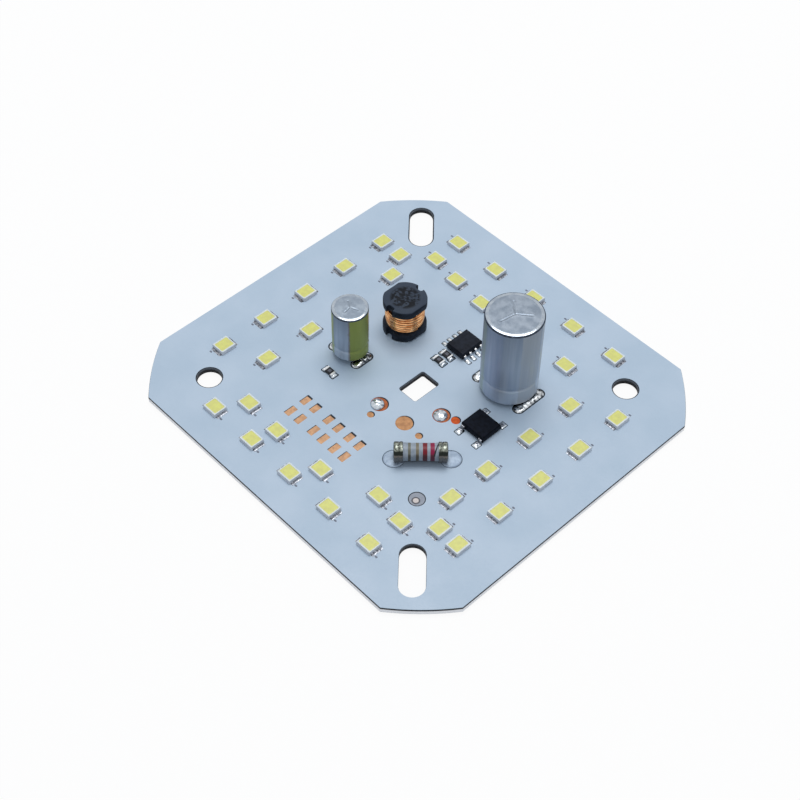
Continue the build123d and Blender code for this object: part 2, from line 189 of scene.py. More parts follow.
# The outer edge is sheared: a dark line above, and below it a painted near-white reflection of the white floor.
sheared_edge = surface("sheared_aluminium_edge", "15181C", "2C3036", 0.5, 0.2, (0.4, 0.6), 0.03,
                       specular=0.2, stretch=(1, 1, 0.35))
tint(sheared_edge, "FCFCFC", axes_from(sheared_edge)[2], 0.88 * MM, 0.74 * MM)
# Glass and epoxy: dark and matt. It is made near black, so the mask gaps round the pads are partly painted
# shade.
dielectric = surface("glass_filled_epoxy", "1C2025", "2E333A", 0.4, 0.15, (0.5, 0.65), 0.006, specular=0.2)
# Foil under a clear coat against tarnish: peach, hardly shiny.
strap_foil = surface("tin_washed_copper_foil", "A87E5C", "C4966E", 0.7, 0.15, (0.4, 0.5), 0.006, 0.25)
copper_foil = surface("coated_copper_foil", "986A42", "B48254", 0.7, 0.15, (0.4, 0.5), 0.006, 0.3)
# Copper that heat and flux have turned brown or red.
bare_copper = surface("bare_copper", "9A4C1E", "B8622C", 0.5, 0.12, (0.4, 0.5), 0.006, specular=0.3)
red_copper = surface("fluxed_copper", "C2480E", "DC6018", 0.5, 0.12, (0.4, 0.5), 0.006, specular=0.2)
# The three rings of the fiducial: grey laminate, a dark etched line and flat tin.
bare_laminate = surface("bare_laminate", "858C98", "9299A4", 0.4, 0.1, (0.4, 0.5), 0.004)
etched_ring = surface("etched_ring", "3E4048", "52545C", 0.4, 0.1, (0.45, 0.55), 0.004)
flat_tin = surface("flat_tin_plate", "C6BCB8", "DAD2CC", 0.3, 0.08, (0.4, 0.5), 0.003)
# Grey ink: thin and matt.
print_ink = surface("screen_print_ink", "5E6472", "767C8A", 0.8, 0.1, (0.55, 0.7), 0.002)
print(len(bpy.data.materials), "materials so far")

# %% [markdown]
# ## Finishes of the LEDs
# An LED housing is moulded from a white heat-proof plastic. Its cup is filled with clear silicone that holds
# yellow phosphor powder. The powder settles unevenly, and a cloudy yellow shows that without a second layer.

# %% LED materials
# White polyamide: satin. Its sides are a darker, bluer copy, which is painted shade.
white_housing = surface("white_moulded_polyamide", "D3DBDE", "DFE5E4", 1.5, 0.12, (0.4, 0.5), 0.002)
shaded_housing = surface("white_polyamide_painted_shade_side", "C6CBD4", "D4D8DE", 1.5, 0.12, (0.45, 0.55), 0.002)
# Powder in silicone: cloudy yellow under a soft gloss.
phosphor = surface("phosphor_in_silicone", "D3D178", "DDDD78", 0.7, 0.06, (0.3, 0.42), 0.004)
# Reflowed tin plate: grey with brighter patches. Its dark grey is partly a painted reflection of dark
# surroundings.
dull_and_painted_dark_tin = surface("dull_tin_plate", "4A4D55", "9CA0A8", 0.35, 0.08, (0.25, 0.45), 0.004, 1.0)
print(len(bpy.data.materials), "materials so far")

# %% [markdown]
# ## Finishes of the driver parts
# Solder and tinned leads are bright metal. The chip and the rectifier are moulded in black epoxy, the resistors
# are glazed and the rubber seals are matt. Dark plastics keep a low specular level, or they would look grey.

# %% Driver part materials
# Solder: a bright skin, under flux a dull one, and a patchy one.
solder = surface("bright_solder", "A9B2BC", "CDD4DA", 0.6, 0.25, (0.1, 0.22), 0.02, 1.0)
# Flux-dulled solder in pale blue-grey, which is partly a painted reflection of the sky and the board.
fluxed_solder_painted_reflection = surface("flux_coated_solder_painted_reflection", "94A5B8", "AFBFD0", 0.9, 0.3, (0.5, 0.62), 0.01, 0.3)
# Patchy solder: its dark and bright noise is a painted dark reflection and shade, with painted highlights.
solder_painted_reflections = surface("solder_painted_reflections", "2C3138", "DCE1E5", 0.55, 0.25, (0.12, 0.25), 0.02, 1.0)
# Tinned copper: bright and even.
tinned_wire = surface("tinned_lead", "C2C5C9", "DADCDD", 0.5, 0.1, (0.14, 0.26), 0.004, 1.0)
# Filled epoxy: matt black with a fine grain.
black_epoxy = surface("moulded_black_epoxy", "161A22", "212630", 0.8, 0.06, (0.5, 0.62), 0.008, specular=0.09)
dark_epoxy = surface("moulded_dark_epoxy", "0B0E15", "141923", 0.8, 0.06, (0.5, 0.62), 0.008, specular=0.05)
# Butyl rubber: matt, dark grey.
rubber = surface("moulded_butyl_rubber", "101114", "1B1C20", 0.8, 0.1, (0.6, 0.75), 0.006)
# Black glaze: glossy, and greyer in its middle.
glazed_ceramic = surface("glazed_black_ceramic", "121317", "1E2025", 0.4, 0.08, (0.25, 0.35), 0.004,
                         specular=0.2)
grey_middle_glaze = surface("grey_middle_glaze", "3C3F4A", "565A66", 0.3, 0.08, (0.3, 0.4), 0.004)
# Enamelled copper: glossy orange outside. The inner turns are dark brown, painted shade where turns shade each
# other.
enamelled_copper = surface("enamelled_copper_wire", "B87440", "F0BC88", 1.2, 0.3, (0.14, 0.2), 0.001, 1.0,
                           stretch=(1, 1, 3))
inner_copper_painted_shade = surface("buried_copper_wire", "3C1C0C", "5E3016", 0.9, 0.3, (0.4, 0.5), 0.002,
                        stretch=(1, 1, 3))
print(len(bpy.data.materials), "materials so far")

# %% [markdown]
# ## Outlines
# An outline is a list of flat points that turns anticlockwise. It can be moved, made smaller all round, and
# lifted to a height, and these few steps make every stack below.

# %% Outlines
QUARTERS = ((1, 1), (-1, 1), (-1, -1), (1, -1))


def circle(radius, count=48):
    """Circle as a closed outline."""
    turns = [2 * math.pi * index / count for index in range(count)]
    return [Vector((radius * math.cos(turn), radius * math.sin(turn))) for turn in turns]


def rectangle(length, width, corner, steps=6):
    """Rectangle with round corners. corner is one radius, or one for each quarter."""
    corners = corner if isinstance(corner, tuple) else (corner,) * 4
    outline = []
    for quarter, radius in enumerate(corners):
        middle = Vector((length / 2 - radius, width / 2 - radius)) * Vector(QUARTERS[quarter])
        for step in range(steps + 1):
            turn = math.radians(90 * (quarter + step / steps))
            outline.append(middle + radius * Vector((math.cos(turn), math.sin(turn))))
    return outline


def obround(length, width):
    """Outline with two round ends."""
    return rectangle(length, width, min(length, width) / 2 - 1e-3, 10)


def inset(outline, depth):
    """Outline moved inwards by depth."""
    moved = []
    for before, here, after in zip(outline[-1:] + outline[:-1], outline, outline[1:] + outline[:1]):
        first, second = (here - before).normalized(), (after - here).normalized()
        inwards = Vector((-first.y - second.y, first.x + second.x)) / (1 + first.dot(second))
        moved.append(here + depth * inwards)
    return moved


def shifted(outline, x, y, turn=0.0):
    """Outline turned by degrees and moved to a place."""
    spin = Matrix.Rotation(math.radians(turn), 2)
    return [spin @ point + Vector((x, y)) for point in outline]


def level(outline, z):
    """Outline as a loop of points at one height."""
    return [(point.x, point.y, z) for point in outline]


def at(x, y, z=0.0, turn=0.0):
    """Place on the board: a move, after a turn in degrees about the upright."""
    return Matrix.Translation((x, y, z)) @ Matrix.Rotation(math.radians(turn), 4, "Z")


print("a round end has", len(obround(2, 1)) // 2, "points")

# %% [markdown]
# ## Points and faces
# Most pieces here are stacks of closed outlines: a can is a stack of circles, a moulded body is a stack of
# rectangles with round corners. `Form` gathers such stacks in millimetres, each part with the index of its
# material, and `build` turns them into one mesh with its faces outwards.

# %% Form
MERGE = 1e-4


class Form:
    """Points and faces of one piece, gathered part by part."""

    def __init__(self):
        self.points = []
        self.faces = []
        self.tones = []

    def add(self, points, faces, tone=0, place=Matrix()):
        """Add faces, with their points moved by place."""
        start = len(self.points)
        self.points += [place @ Vector(point) for point in points]
        self.faces += [[start + index for index in face] for face in faces]
        self.tones += [tone] * len(faces)

    def loft(self, loops, tone=0, place=Matrix(), low=True, high=True):
        """Add a skin over closed loops with equal counts of points, closed at its low and high end or not."""
        count, last = len(loops[0]), len(loops) - 1
        faces = []
        for base in range(0, last * count, count):
            for step in range(count):
                here, after = base + step, base + (step + 1) % count
                faces.append((here, after, after + count, here + count))
        if low:
            faces.append(range(count)[::-1])
        if high:
            faces.append(range(last * count, (last + 1) * count))
        self.add([point for loop in loops for point in loop], faces, tone, place)

    def stack(self, outline, levels, tone=0, place=Matrix(), **ends):
        """Add a skin over one outline at several levels, each a height and a depth inwards."""
        self.loft([level(inset(outline, depth), z) for z, depth in levels], tone, place, **ends)

    def fill(self, rings, z, tone=0, place=Matrix()):
        """Add a flat face at one height: the first ring is its outline, the others are holes."""
        cells = geometry.tessellate_polygon([[point.to_3d() for point in ring] for ring in rings])
        self.add(level([point for ring in rings for point in ring], z), cells, tone, place)


def mesh_of(form, name, materials=()):
    """Mesh of a form, in metres."""
    mesh = bpy.data.meshes.new(name)
    mesh.from_pydata([point * MM for point in form.points], [], form.faces)
    for material in materials:
        mesh.materials.append(material)
    mesh.polygons.foreach_set("material_index", form.tones)
    return mesh


def settle(mesh, name, slot, *nodes, sharp=35):
    """Close a mesh's seams, turn its faces outwards and put it in the scene in place of its solids."""
    work = bmesh.new()
    work.from_mesh(mesh)
    bmesh.ops.remove_doubles(work, verts=work.verts, dist=MERGE * MM)
    bmesh.ops.recalc_face_normals(work, faces=work.faces)
    work.to_mesh(mesh)
    work.free()
    mesh.shade_smooth()
    mesh.set_sharp_from_angle(angle=math.radians(sharp))
    piece = bpy.data.objects.new(name, mesh)
    bpy.context.scene.collection.objects.link(piece)
    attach(piece, "root")
    if nodes:
        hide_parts(*nodes)


def build(form, name, materials, slot, *nodes, sharp=35):
    """Make a form a piece of the scene."""
    settle(mesh_of(form, name, materials), name, slot, *nodes, sharp=sharp)


print("points closer than", MERGE, "mm are merged")

# %% [markdown]
# ## Circuit board
# The board is punched from sheet, so it is one outline with holes: two round fixing holes, two slots and one
# hole for the wires. The printed mask is a second, thin plate on it with more openings, and in these the dark
# insulating layer shows round the copper. Cutting the holes with booleans would leave long thin faces, so a
# filled polygon with holes makes both plates.

# %% Board sizes
CORNER_R = 45.4
HOLE_R, HOLE_AT = 2.15, 24.996
SLOT = (9.9, 4.3)
SLOT_AT = 38.15 * math.sqrt(0.5)
WIRE_HOLE, WIRE_HOLE_AT = (3.9, 5.6, 0.4), (0.75, -0.3)
MASK_T, MASK_EDGE, PUNCH_EDGE = 0.08, 0.025, 0.06
FLOOR = TOP - MASK_T
# The mask stops a little short of each cut: inwards from the outline, and outwards round the left hole, the
# top slot, the right hole, the bottom slot and the wire hole.
SET_BACKS = (0.05, -0.2, -0.2, -0.2, -0.04, -0.12)
ARC_STEPS = 24


def board_outline():
    """Rectangle whose corners are cut by one circle round the middle."""
    first, last = math.acos(BOARD_HIGH.x / CORNER_R), math.asin(BOARD_HIGH.y / CORNER_R)
    sweep = [first + (last - first) * step / ARC_STEPS for step in range(ARC_STEPS + 1)]
    half = sweep + [math.pi - turn for turn in reversed(sweep)]
    turns = half + [turn + math.pi for turn in half]
    return [CORNER_R * Vector((math.cos(turn), math.sin(turn))) for turn in turns]


holes = [board_outline()]
for side in (-1, 1):
    holes.append(shifted(circle(HOLE_R), side * HOLE_AT, side * HOLE_AT))
    holes.append(shifted(rectangle(*SLOT, SLOT[1] / 2, 16), side * SLOT_AT, -side * SLOT_AT, -45))
holes.append(shifted(rectangle(*WIRE_HOLE), *WIRE_HOLE_AT))
print("board is", *[round(2 * side, 1) for side in BOARD_HIGH.xy], "mm with", len(holes) - 1, "holes")

# %% [markdown]
# ## Where the mask is open
# Each soldered or bare place needs its own opening. Their places are kept as short lists, because the same
# lists place the foil and the solder later.

# %% Openings of the mask
STRAP = (1.25, 2.1, 0.12)
STRAP_X = [pair + side * 1.21 for pair in (-8.8, -3.05, 2.1) for side in (-1, 1)]
STRAP_ROWS = ((-19.72, (0.1, 0.0)), (-16.3, (0.08, -0.33)))
LANDS = ((3.15, -0.95, -7.84), (3.15, 4.9, -7.6), (3.15, 7.9, -1.95),
         (1.35, -0.3, -10.45), (1.35, 8.5, -7.75), (1.7, 10.29, -0.94))
FIDUCIAL = ((2.9, 17.6, -17.0), (2.6, 17.6, -17.0), (1.45, 17.69, -17.32), (0.95, 17.69, -17.32))

ROD_AT = Vector((12.15, -10.95, TOP + 1.8))
ROD_TURN = 46.5
POOL_R, POOL_GAP = 1.78, 0.08
rod_way = Matrix.Rotation(math.radians(ROD_TURN), 2) @ Vector((1, 0))
POOLS = [ROD_AT.xy + reach * rod_way for reach in (5.0, -4.4)]

# Width, length, distance from the can's middle, gap in the mask, height and unevenness of each can's pads.
CAN_PADS = {"bulk": (1.9, 6.8, 4.75, 0.3, 0.45, 0.12), "filter": (1.7, 4.3, 2.85, 0.35, 0.43, 0.1)}

# Length, width, gap in the mask and height of the solder under each kind of foot.
FOOT = {"tile": (0.75, 1.3, 0.26, 0.36), "chip": (1.1, 0.72, 0.12, 0.2), "rectifier": (1.15, 1.35, 0.18, 0.25)}
TILES = ((-1.05, 6.2), (-1.0, 8.05), (-11.9, -9.25))
CHIP_AT, RECTIFIER_AT = Vector((-0.3, 11.6)), Vector((14.35, 0.85))
FEET = [("tile", x + side * 1.05, y) for x, y in TILES for side in (-1, 1)]
FEET += [("chip", CHIP_AT.x + side * 2.85, CHIP_AT.y + (row - 1.5) * 1.27)
         for row in range(4) for side in (-1, 1)]
FEET += [("rectifier", RECTIFIER_AT.x + x * 2.0, RECTIFIER_AT.y + y * 3.05)
         for x in (-1, 1) for y in (-1, 1)]

openings = [shifted(rectangle(*STRAP), x, y) for y, _ in STRAP_ROWS for x in STRAP_X]
openings += [shifted(circle(diameter / 2), x, y) for diameter, x, y in LANDS + FIDUCIAL[:1]]
openings += [shifted(circle(POOL_R + POOL_GAP), x, y) for x, y in POOLS]
can_pads = []
for name, (width, length, out, gap, *_) in CAN_PADS.items():
    middle = span(f"{name}_capacitor_can")[2]
    for side in (-1, 1):
        can_pads.append((name, middle.x + side * out, middle.y))
        openings.append(shifted(obround(width + gap, length + gap), *can_pads[-1][1:]))
for kind, x, y in FEET:
    length, width, gap, _ = FOOT[kind]
    openings.append(shifted(rectangle(length + gap, width + gap, 0.2), x, y))
print(len(openings), "openings")

# %% Both plates
def plate(form, contours, low, high, edge, tones):
    """Add a flat plate. contours starts with its outline. tones: outer wall, holes, top and bottom."""
    outer, inner, top, bottom = tones
    rims = []
    for index, contour in enumerate(contours):
        depth, tone = (-edge, inner) if index else (edge, outer)
        levels = ((low, depth), (low + edge, 0), (high - edge, 0), (high, depth))
        form.stack(contour, levels, tone, low=False, high=False)
        rims.append(inset(contour, depth))
    form.fill(rims, high, top)
    form.fill(rims, low, bottom)


board = Form()
plate(board, holes, 0.0, FLOOR, PUNCH_EDGE, (4, 2, 3, 1))
margins = [inset(contour, depth) for contour, depth in zip(holes, SET_BACKS)]
plate(board, margins + openings, FLOOR, TOP, MASK_EDGE, (0, 0, 0, 0))
build(board, "board_with_mask", [solder_mask, rolled_aluminium, punched_edge, dielectric, sheared_edge],
      "board", "circuit_board")
print("board has", len(board.faces), "faces")

# %% [markdown]
# ## Copper lands
# The foil was etched a little out of line with the mask, so in one row of straps a dark strip of the insulating
# layer shows at one end, and the round lands show a dark crescent. Each land is a thin plate with a soft edge,
# which shows this by itself when it is moved off its opening.

# %% Copper lands
FOIL_T, FOIL_EDGE = 0.035, 0.012
LAND_SHIFT = Vector((-0.05, -0.22))
LAND_TONES = (2, 1, 2, 1, 1, 3)
RING_T, RING_STEP, FIRST_RING = 0.03, 0.012, 4

foil = Form()
lands = [(shifted(rectangle(*STRAP), x + shift_x, y + shift_y), FLOOR, FOIL_T, 0)
         for y, (shift_x, shift_y) in STRAP_ROWS for x in STRAP_X]
lands += [(shifted(circle(diameter / 2), x + LAND_SHIFT.x, y + LAND_SHIFT.y), FLOOR, FOIL_T, tone)
          for (diameter, x, y), tone in zip(LANDS, LAND_TONES)]
lands += [(shifted(circle(diameter / 2), x, y), FLOOR + RING_STEP * step, RING_T, FIRST_RING + step)
          for step, (diameter, x, y) in enumerate(FIDUCIAL[1:])]
for outline, base, thick, tone in lands:
    plate(foil, [outline], base, base + thick, FOIL_EDGE, (tone,) * 4)
build(foil, "copper_foil_lands", [strap_foil, copper_foil, bare_copper, red_copper, bare_laminate, etched_ring,
                                  flat_tin], "copper", "copper_lands")
print(len(lands), "pieces of foil and rings")

# %% [markdown]
# ## LEDs
# Each LED is a white moulded box whose cup is filled to just under its rim. One corner of the rim is cut to
# mark its negative side. A tin-plated terminal stands out at each short end, on a soldered pad. Forty of them
# are alike, so one form is made and then placed forty times, each for its own solid.

# %% One LED
HOUSING = (3.14, 2.8)
SIDE_STACK = ((0.03, 0.0), (0.35, 0.03), (0.62, 0.06))
RIM_STACK = ((0.62, 0.06), (0.7, 0.068), (0.735, 0.08), (0.75, 0.11))
RIM_CORNER = (0.45, 0.12, 0.12, 0.12)
CUP = (2.62, 2.12, 0.22)
CUP_STACK = ((0.75, -0.03), (0.735, 0.0), (0.6, 0.06))
PHOSPHOR_STACK = ((0.5, 0.95), (0.715, 0.99), (0.724, 0.95), (0.715, 0.75), (0.71, 0.4))
TERMINAL, TERMINAL_AT, TERMINAL_STACK = (0.3, 2.1), 1.6, ((0.02, 0.0), (0.17, 0.0), (0.2, 0.03))
PAD, PAD_AT, PAD_STACK = (0.9, 2.3), 1.62, ((0.0, 0.0), (0.02, 0.02))
FILLET_L, FILLET_H, FILLET_WAIST = 0.24, 0.17, 0.35


def led_form():
    """One LED with its long side along X, standing on the board's top."""
    form = Form()
    outline, rim, cup = rectangle(*HOUSING, 0.12), rectangle(*HOUSING, RIM_CORNER), rectangle(*CUP)
    form.loft([level(inset(outline if z < 0.5 else rim, depth), z) for z, depth in SIDE_STACK], 3, high=False)
    form.loft([level(inset(rim, depth), z) for z, depth in RIM_STACK]
              + [level(inset(cup, depth), z) for z, depth in CUP_STACK], 0, low=False)
    form.loft([level([point * share for point in cup], z) for z, share in PHOSPHOR_STACK], 1)
    heel, width, foot = TERMINAL_AT + TERMINAL[0] / 2, TERMINAL[1], TERMINAL_STACK[0][0]
    fillet = ((heel, foot), (heel + FILLET_L, foot),
              (heel + FILLET_WAIST * FILLET_L, FILLET_WAIST * FILLET_H), (heel, FILLET_H))
    for side in (-1, 1):
        form.stack(rectangle(*TERMINAL, 0.04), TERMINAL_STACK, 2, at(side * TERMINAL_AT, 0))
        form.stack(rectangle(*PAD, 0.1), PAD_STACK, 2, at(side * PAD_AT, 0))
        form.loft([[(side * x, y * side, z) for x, z in fillet] for y in (width / 2, 0.3, -0.3, -width / 2)], 2)
    return form


lamp = led_form()
print("one LED has", len(lamp.faces), "faces")

# %% All LEDs
LED_TURNS = {"bottom": 0, "right": 90, "top": 180, "left": 270}

led_spots = []
for node in sorted(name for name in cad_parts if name.startswith("led_")):
    middle = span(node)[2]
    led_spots.append((middle.x, middle.y, LED_TURNS[node.split("_")[2]]))
    placed = Form()
    x, y, turn = led_spots[-1]
    placed.add(lamp.points, lamp.faces, 0, at(x, y, TOP, turn))
    placed.tones = lamp.tones
    build(placed, node.replace("led", "lamp"), [white_housing, phosphor, dull_and_painted_dark_tin, shaded_housing], "led", node)
print(len(led_spots), "LEDs")

# %% [markdown]
# ## Printed marks
# A short tick is printed in grey at the negative side of each LED. It could be painted in the mask's material,
# but a thin flat strip on the mask keeps its own sharp edge and follows the list of LEDs.

# %% Printed marks
INK_STACK = ((0.0, 0.0), (0.012, 0.01))
TICK, TICK_AT = (0.54, 0.34, 0.153), Vector((2.4, -0.75, 0))

marks = Form()
tick = rectangle(*TICK, 4)
for x, y, turn in led_spots:
    spot = at(x, y, TOP, turn) @ TICK_AT
    marks.stack(tick, INK_STACK, 0, at(*spot))
build(marks, "printed_marks", [print_ink], "board")
print(len(led_spots), "printed ticks")

# %% [markdown]
# ## Upright capacitors
# A capacitor can is drawn from aluminium sheet: a tube with a rounded shoulder, a groove rolled in near its
# foot to grip the seal, and a scored top that opens if the pressure rises. The draw leaves upright lines, so
# its noise is stretched upwards, and soft patches round it stand for what the bright metal mirrors.

# %% Can material
PATCH_FADE, PATCH_SOFT, PATCH_FRAY = 0.03, 0.04, 0.1
# Painted shade darkens the side towards its top, and a painted sheen lightens the foot below the bead.
SHADE, FOOT_SHINE = ("6E7988", 0.7), ("C3CCD6", 0.55)


def can_material(name, dark, light, bead_up, patches):
    """Drawn aluminium with upright draw lines. patches are painted reflections: (turn, half width, share, hex
    colour).
    """
    low, _, middle = span(f"{name}_capacitor_can")
    reach = middle.z - low.z
    material = surface(f"drawn_aluminium_{name}", dark, light, 0.9, 0.35, (0.42, 0.52), 0.004, 0.8,
                       stretch=(1, 1, 0.05))
    tree = material.node_tree
    x, y, height = axes_from(material, middle)
    place = add(tree, "ShaderNodeTexCoord").outputs["Object"]
    edge = add(tree, "ShaderNodeTexNoise", {"Vector": place, "Scale": 1 / (0.6 * MM), "Detail": 2.0})
    angle = add(tree, "ShaderNodeMath", {0: y, 1: x}, operation="ARCTAN2")
    tint(material, SHADE[0], height, 0.0, reach * MM, SHADE[1])
    tint(material, FOOT_SHINE[0], height, (bead_up - reach) * MM, (bead_up - reach - 0.5) * MM, FOOT_SHINE[1])
    for turn, half, share, code in patches:
        away = add(tree, "ShaderNodeMath", {0: angle, 1: math.radians(turn)}, operation="SUBTRACT")
        wide = add(tree, "ShaderNodeMath", {0: away}, operation="ABSOLUTE")
        frayed = add(tree, "ShaderNodeMath", {0: edge, 1: PATCH_FRAY, 2: wide}, operation="MULTIPLY_ADD")
        full = math.radians(half) + PATCH_FADE
        tint(material, code, frayed, full + PATCH_SOFT, full, share)
    return material


# The corner carries a painted dark reflection, and above it the crown is burnished by the tool, so it flashes.
painted_dark_corner = surface("dark_corner_painted_reflection", "262E3A", "465060", 0.5, 0.1, (0.5, 0.7), 0.004, specular=0.15)
burnished = surface("burnished_aluminium", "9EA8B4", "B2BBC4", 0.8, 0.2, (0.1, 0.16), 0.001, 1.0)
print(len(bpy.data.materials), "materials so far")

# %% [markdown]
# ## Shape of a can
# A can is turned, so it is a stack of circles, cut where its material changes. A bump in the material could
# draw the pressed score, but the rings of the top are close enough to hold it as real relief.

# %% Can form
BEAD_W, FOOT_R, FOOT_RIM = 1.1, 0.3, 0.8
CROWN_H, DOME, LINE_W = 0.18, 0.03, 0.2
SCORE_W, SCORE_DEPTH, SCORE_LIP = 0.17, 0.035, 0.008
DISC_RINGS, TURN_STEPS, BEAD_STEPS = 46, 168, 12


def can_profile(radius, height, bead_up, bead_depth, crown_w, bright_to):
    """Side, painted dark corner and bright crown from the foot to the disc, as (radius, height) pairs."""
    side = [(radius - FOOT_RIM, 0.06), (radius - FOOT_R - 0.15, 0.0)]
    for turn in map(math.radians, range(0, 91, 15)):
        side.append((radius - FOOT_R + FOOT_R * math.sin(turn), FOOT_R - FOOT_R * math.cos(turn)))
    for step in range(-BEAD_STEPS, BEAD_STEPS + 1):
        dip = bead_depth * (0.5 + 0.5 * math.cos(math.pi * step / BEAD_STEPS)) ** 0.8
        side.append((radius - dip, bead_up + BEAD_W * step / BEAD_STEPS / 2))
    side.append((radius, height - DOME - CROWN_H - LINE_W))
    corner, crown = [side[-1]], []
    for step in range(90, -1, -6):
        turn = math.radians(step)
        point = (radius - crown_w * (1 - math.sin(turn)), height - DOME - CROWN_H * (1 - math.cos(turn)))
        (corner if step > bright_to else crown).append(point)
    corner.append(crown[0])
    return side, corner, crown


def score_relief(x, y, length, turns):
    """Height of the pressed top near its score: a groove between low lips."""
    spot = Vector((x, y))
    ways = [Vector((math.cos(turn), math.sin(turn))) for turn in map(math.radians, turns)]
    away = min((spot - max(0.0, min(length, spot.dot(way))) * way).length for way in ways) / SCORE_W
    return SCORE_LIP * math.exp(-((away - 1.4) * 1.3) ** 2) - SCORE_DEPTH * math.exp(-(away * 1.6) ** 2)


def can_form(name, shape, score_l, score_turns):
    """Whole can at its place."""
    low, high, middle = span(f"{name}_capacitor_can")
    parts = can_profile((high.x - low.x) / 2, high.z - low.z, *shape)
    place = at(middle.x, middle.y)
    form = Form()
    for tone, part in enumerate(parts):
        rings = [level(circle(r, TURN_STEPS), low.z + z) for r, z in part]
        form.loft(rings, tone, place, low=tone == 0, high=False)
    rim, disc = parts[2][-1]
    loops = rings[-1:]
    for ring in range(1, DISC_RINGS):
        share = 1 - ring / DISC_RINGS
        loop = []
        for x, y in circle(rim * share, TURN_STEPS):
            waves = 0.006 * noise.noise(Vector((x, y, 3.1)) * 1.1) * min(1.0, 4 * (1 - share))
            z = low.z + disc + 0.8 * DOME * (1 - share ** 2) + waves + score_relief(x, y, score_l, score_turns)
            loop.append((x, y, min(z, high.z)))
        loops.append(loop)
    form.loft(loops, 3, place, low=False)
    return form


print("a can turns in", TURN_STEPS, "steps")

# %% Both cans
# Height and depth of the bead, width of the crown and the angle to which it is bright.
CAN_SHAPES = {"bulk": (3.6, 0.1, 0.7, 48), "filter": (2.3, 0.08, 0.55, 60)}
SCORES = {"bulk": (2.9, (40, 140, 260)), "filter": (1.5, (21, 150, 281))}
CAN_TONES = {"bulk": ("98A5B8", "AEB8C7"), "filter": ("8C9AAC", "AAB5C3")}
DISC_TONES = {"bulk": ("6A7480", "7E8792"), "filter": ("707A86", "848E99")}
CAN_PATCHES = {
    "bulk": ((-8, 22, 0.5, "A8AAAB"), (-85, 18, 0.25, "8E9EBE"), (-117, 8, 0.4, "8E9C80"),
             (30, 12, 0.5, "C5CCD3")),
    "filter": ((4, 49, 0.95, "8F9848"), (-46, 3, 0.6, "7A6A62"), (-122, 18, 0.85, "96A06A"),
               (36, 5, 0.8, "E4E8EC"))}

for name, shape in CAN_SHAPES.items():
    metal = can_material(name, *CAN_TONES[name], shape[0], CAN_PATCHES[name])
    disc = surface(f"pressed_aluminium_{name}", *DISC_TONES[name], 1.3, 0.25, (0.34, 0.46), 0.008, 1.0)
    form = can_form(name, shape, *SCORES[name])
    build(form, f"{name}_can", [metal, painted_dark_corner, burnished, disc], "can", f"{name}_capacitor_can", sharp=60)
    print(name, "can has", len(form.faces), "faces")

# %% [markdown]
# ## Plain meshes
# A curve's thickness and a tree of geometry nodes are recipes that Blender works out as it draws. What they
# make is kept as a plain mesh, so that nothing live is left on a piece.

# %% Plain mesh
def plain_mesh(holder):
    """Mesh that an object's curve or modifier makes. The object itself goes."""
    bpy.context.scene.collection.objects.link(holder)
    mesh = bpy.data.meshes.new_from_object(holder.evaluated_get(bpy.context.evaluated_depsgraph_get()))
    bpy.data.objects.remove(holder)
    return mesh


print("curves and trees become plain meshes")

# %% [markdown]
# ## Capacitor leads
# Each lead is a tinned wire that leaves the seal, bends outwards and lies in its solder. A curve with a round
# bevel follows that route, and its smooth spline makes the bend.

# %% Capacitor leads
WIRES = {"bulk": (0.25, 2.5, 5.2), "filter": (0.25, 1.25, 3.1)}
SINK, LIFT, BEND = 0.6, 0.06, 2.2


def tube(name, routes, radius):
    """Mesh of round wires along routes of points, with closed ends."""
    curve = bpy.data.curves.new(name, "CURVE")
    curve.dimensions = "3D"
    curve.bevel_depth = radius * MM
    curve.bevel_resolution = 5
    curve.use_fill_caps = True
    for route in routes:
        spline = curve.splines.new("NURBS")
        spline.points.add(len(route) - 1)
        for point, place in zip(spline.points, route):
            point.co = (*(Vector(place) * MM), 1)
        spline.order_u = 3
        spline.use_endpoint_u = True
        spline.resolution_u = 8
    return plain_mesh(bpy.data.objects.new(name, curve))


for name, (radius, out, reach) in WIRES.items():
    _, high, middle = span(f"{name}_capacitor_leads")
    rest = TOP + radius + LIFT
    steps = ((out, high.z + SINK), (out, rest + BEND * radius), (out, rest), (out + BEND * radius, rest),
             (reach - 0.4, rest), (reach, rest - 0.02))
    routes = [[(middle.x + side * x, middle.y, z) for x, z in steps] for side in (-1, 1)]
    mesh = tube(f"{name}_leads", routes, radius)
    mesh.materials.append(tinned_wire)
    settle(mesh, f"{name}_leads", "tinned_leads", f"{name}_capacitor_leads")
    print(name, "leads reach", reach, "mm out")

# %% [markdown]
# ## Inductor core
# The core is pressed ferrite: two flanges on a hub, each a disc with two flats and a notch at both ends where
# the wire comes down. Ink was dabbed on its top. Both flanges are stacks of one outline with ground edges, and
# the ink is noise inside a soft circle, so it says nothing.

# %% Core outline
CORE_LOW, CORE_HIGH, CORE_MIDDLE = span("inductor_core")
CORE_FLAT, CORE_ROUND = 6.95, 7.7
NOTCH, NOTCH_R = (1.4, 0.75), 0.35


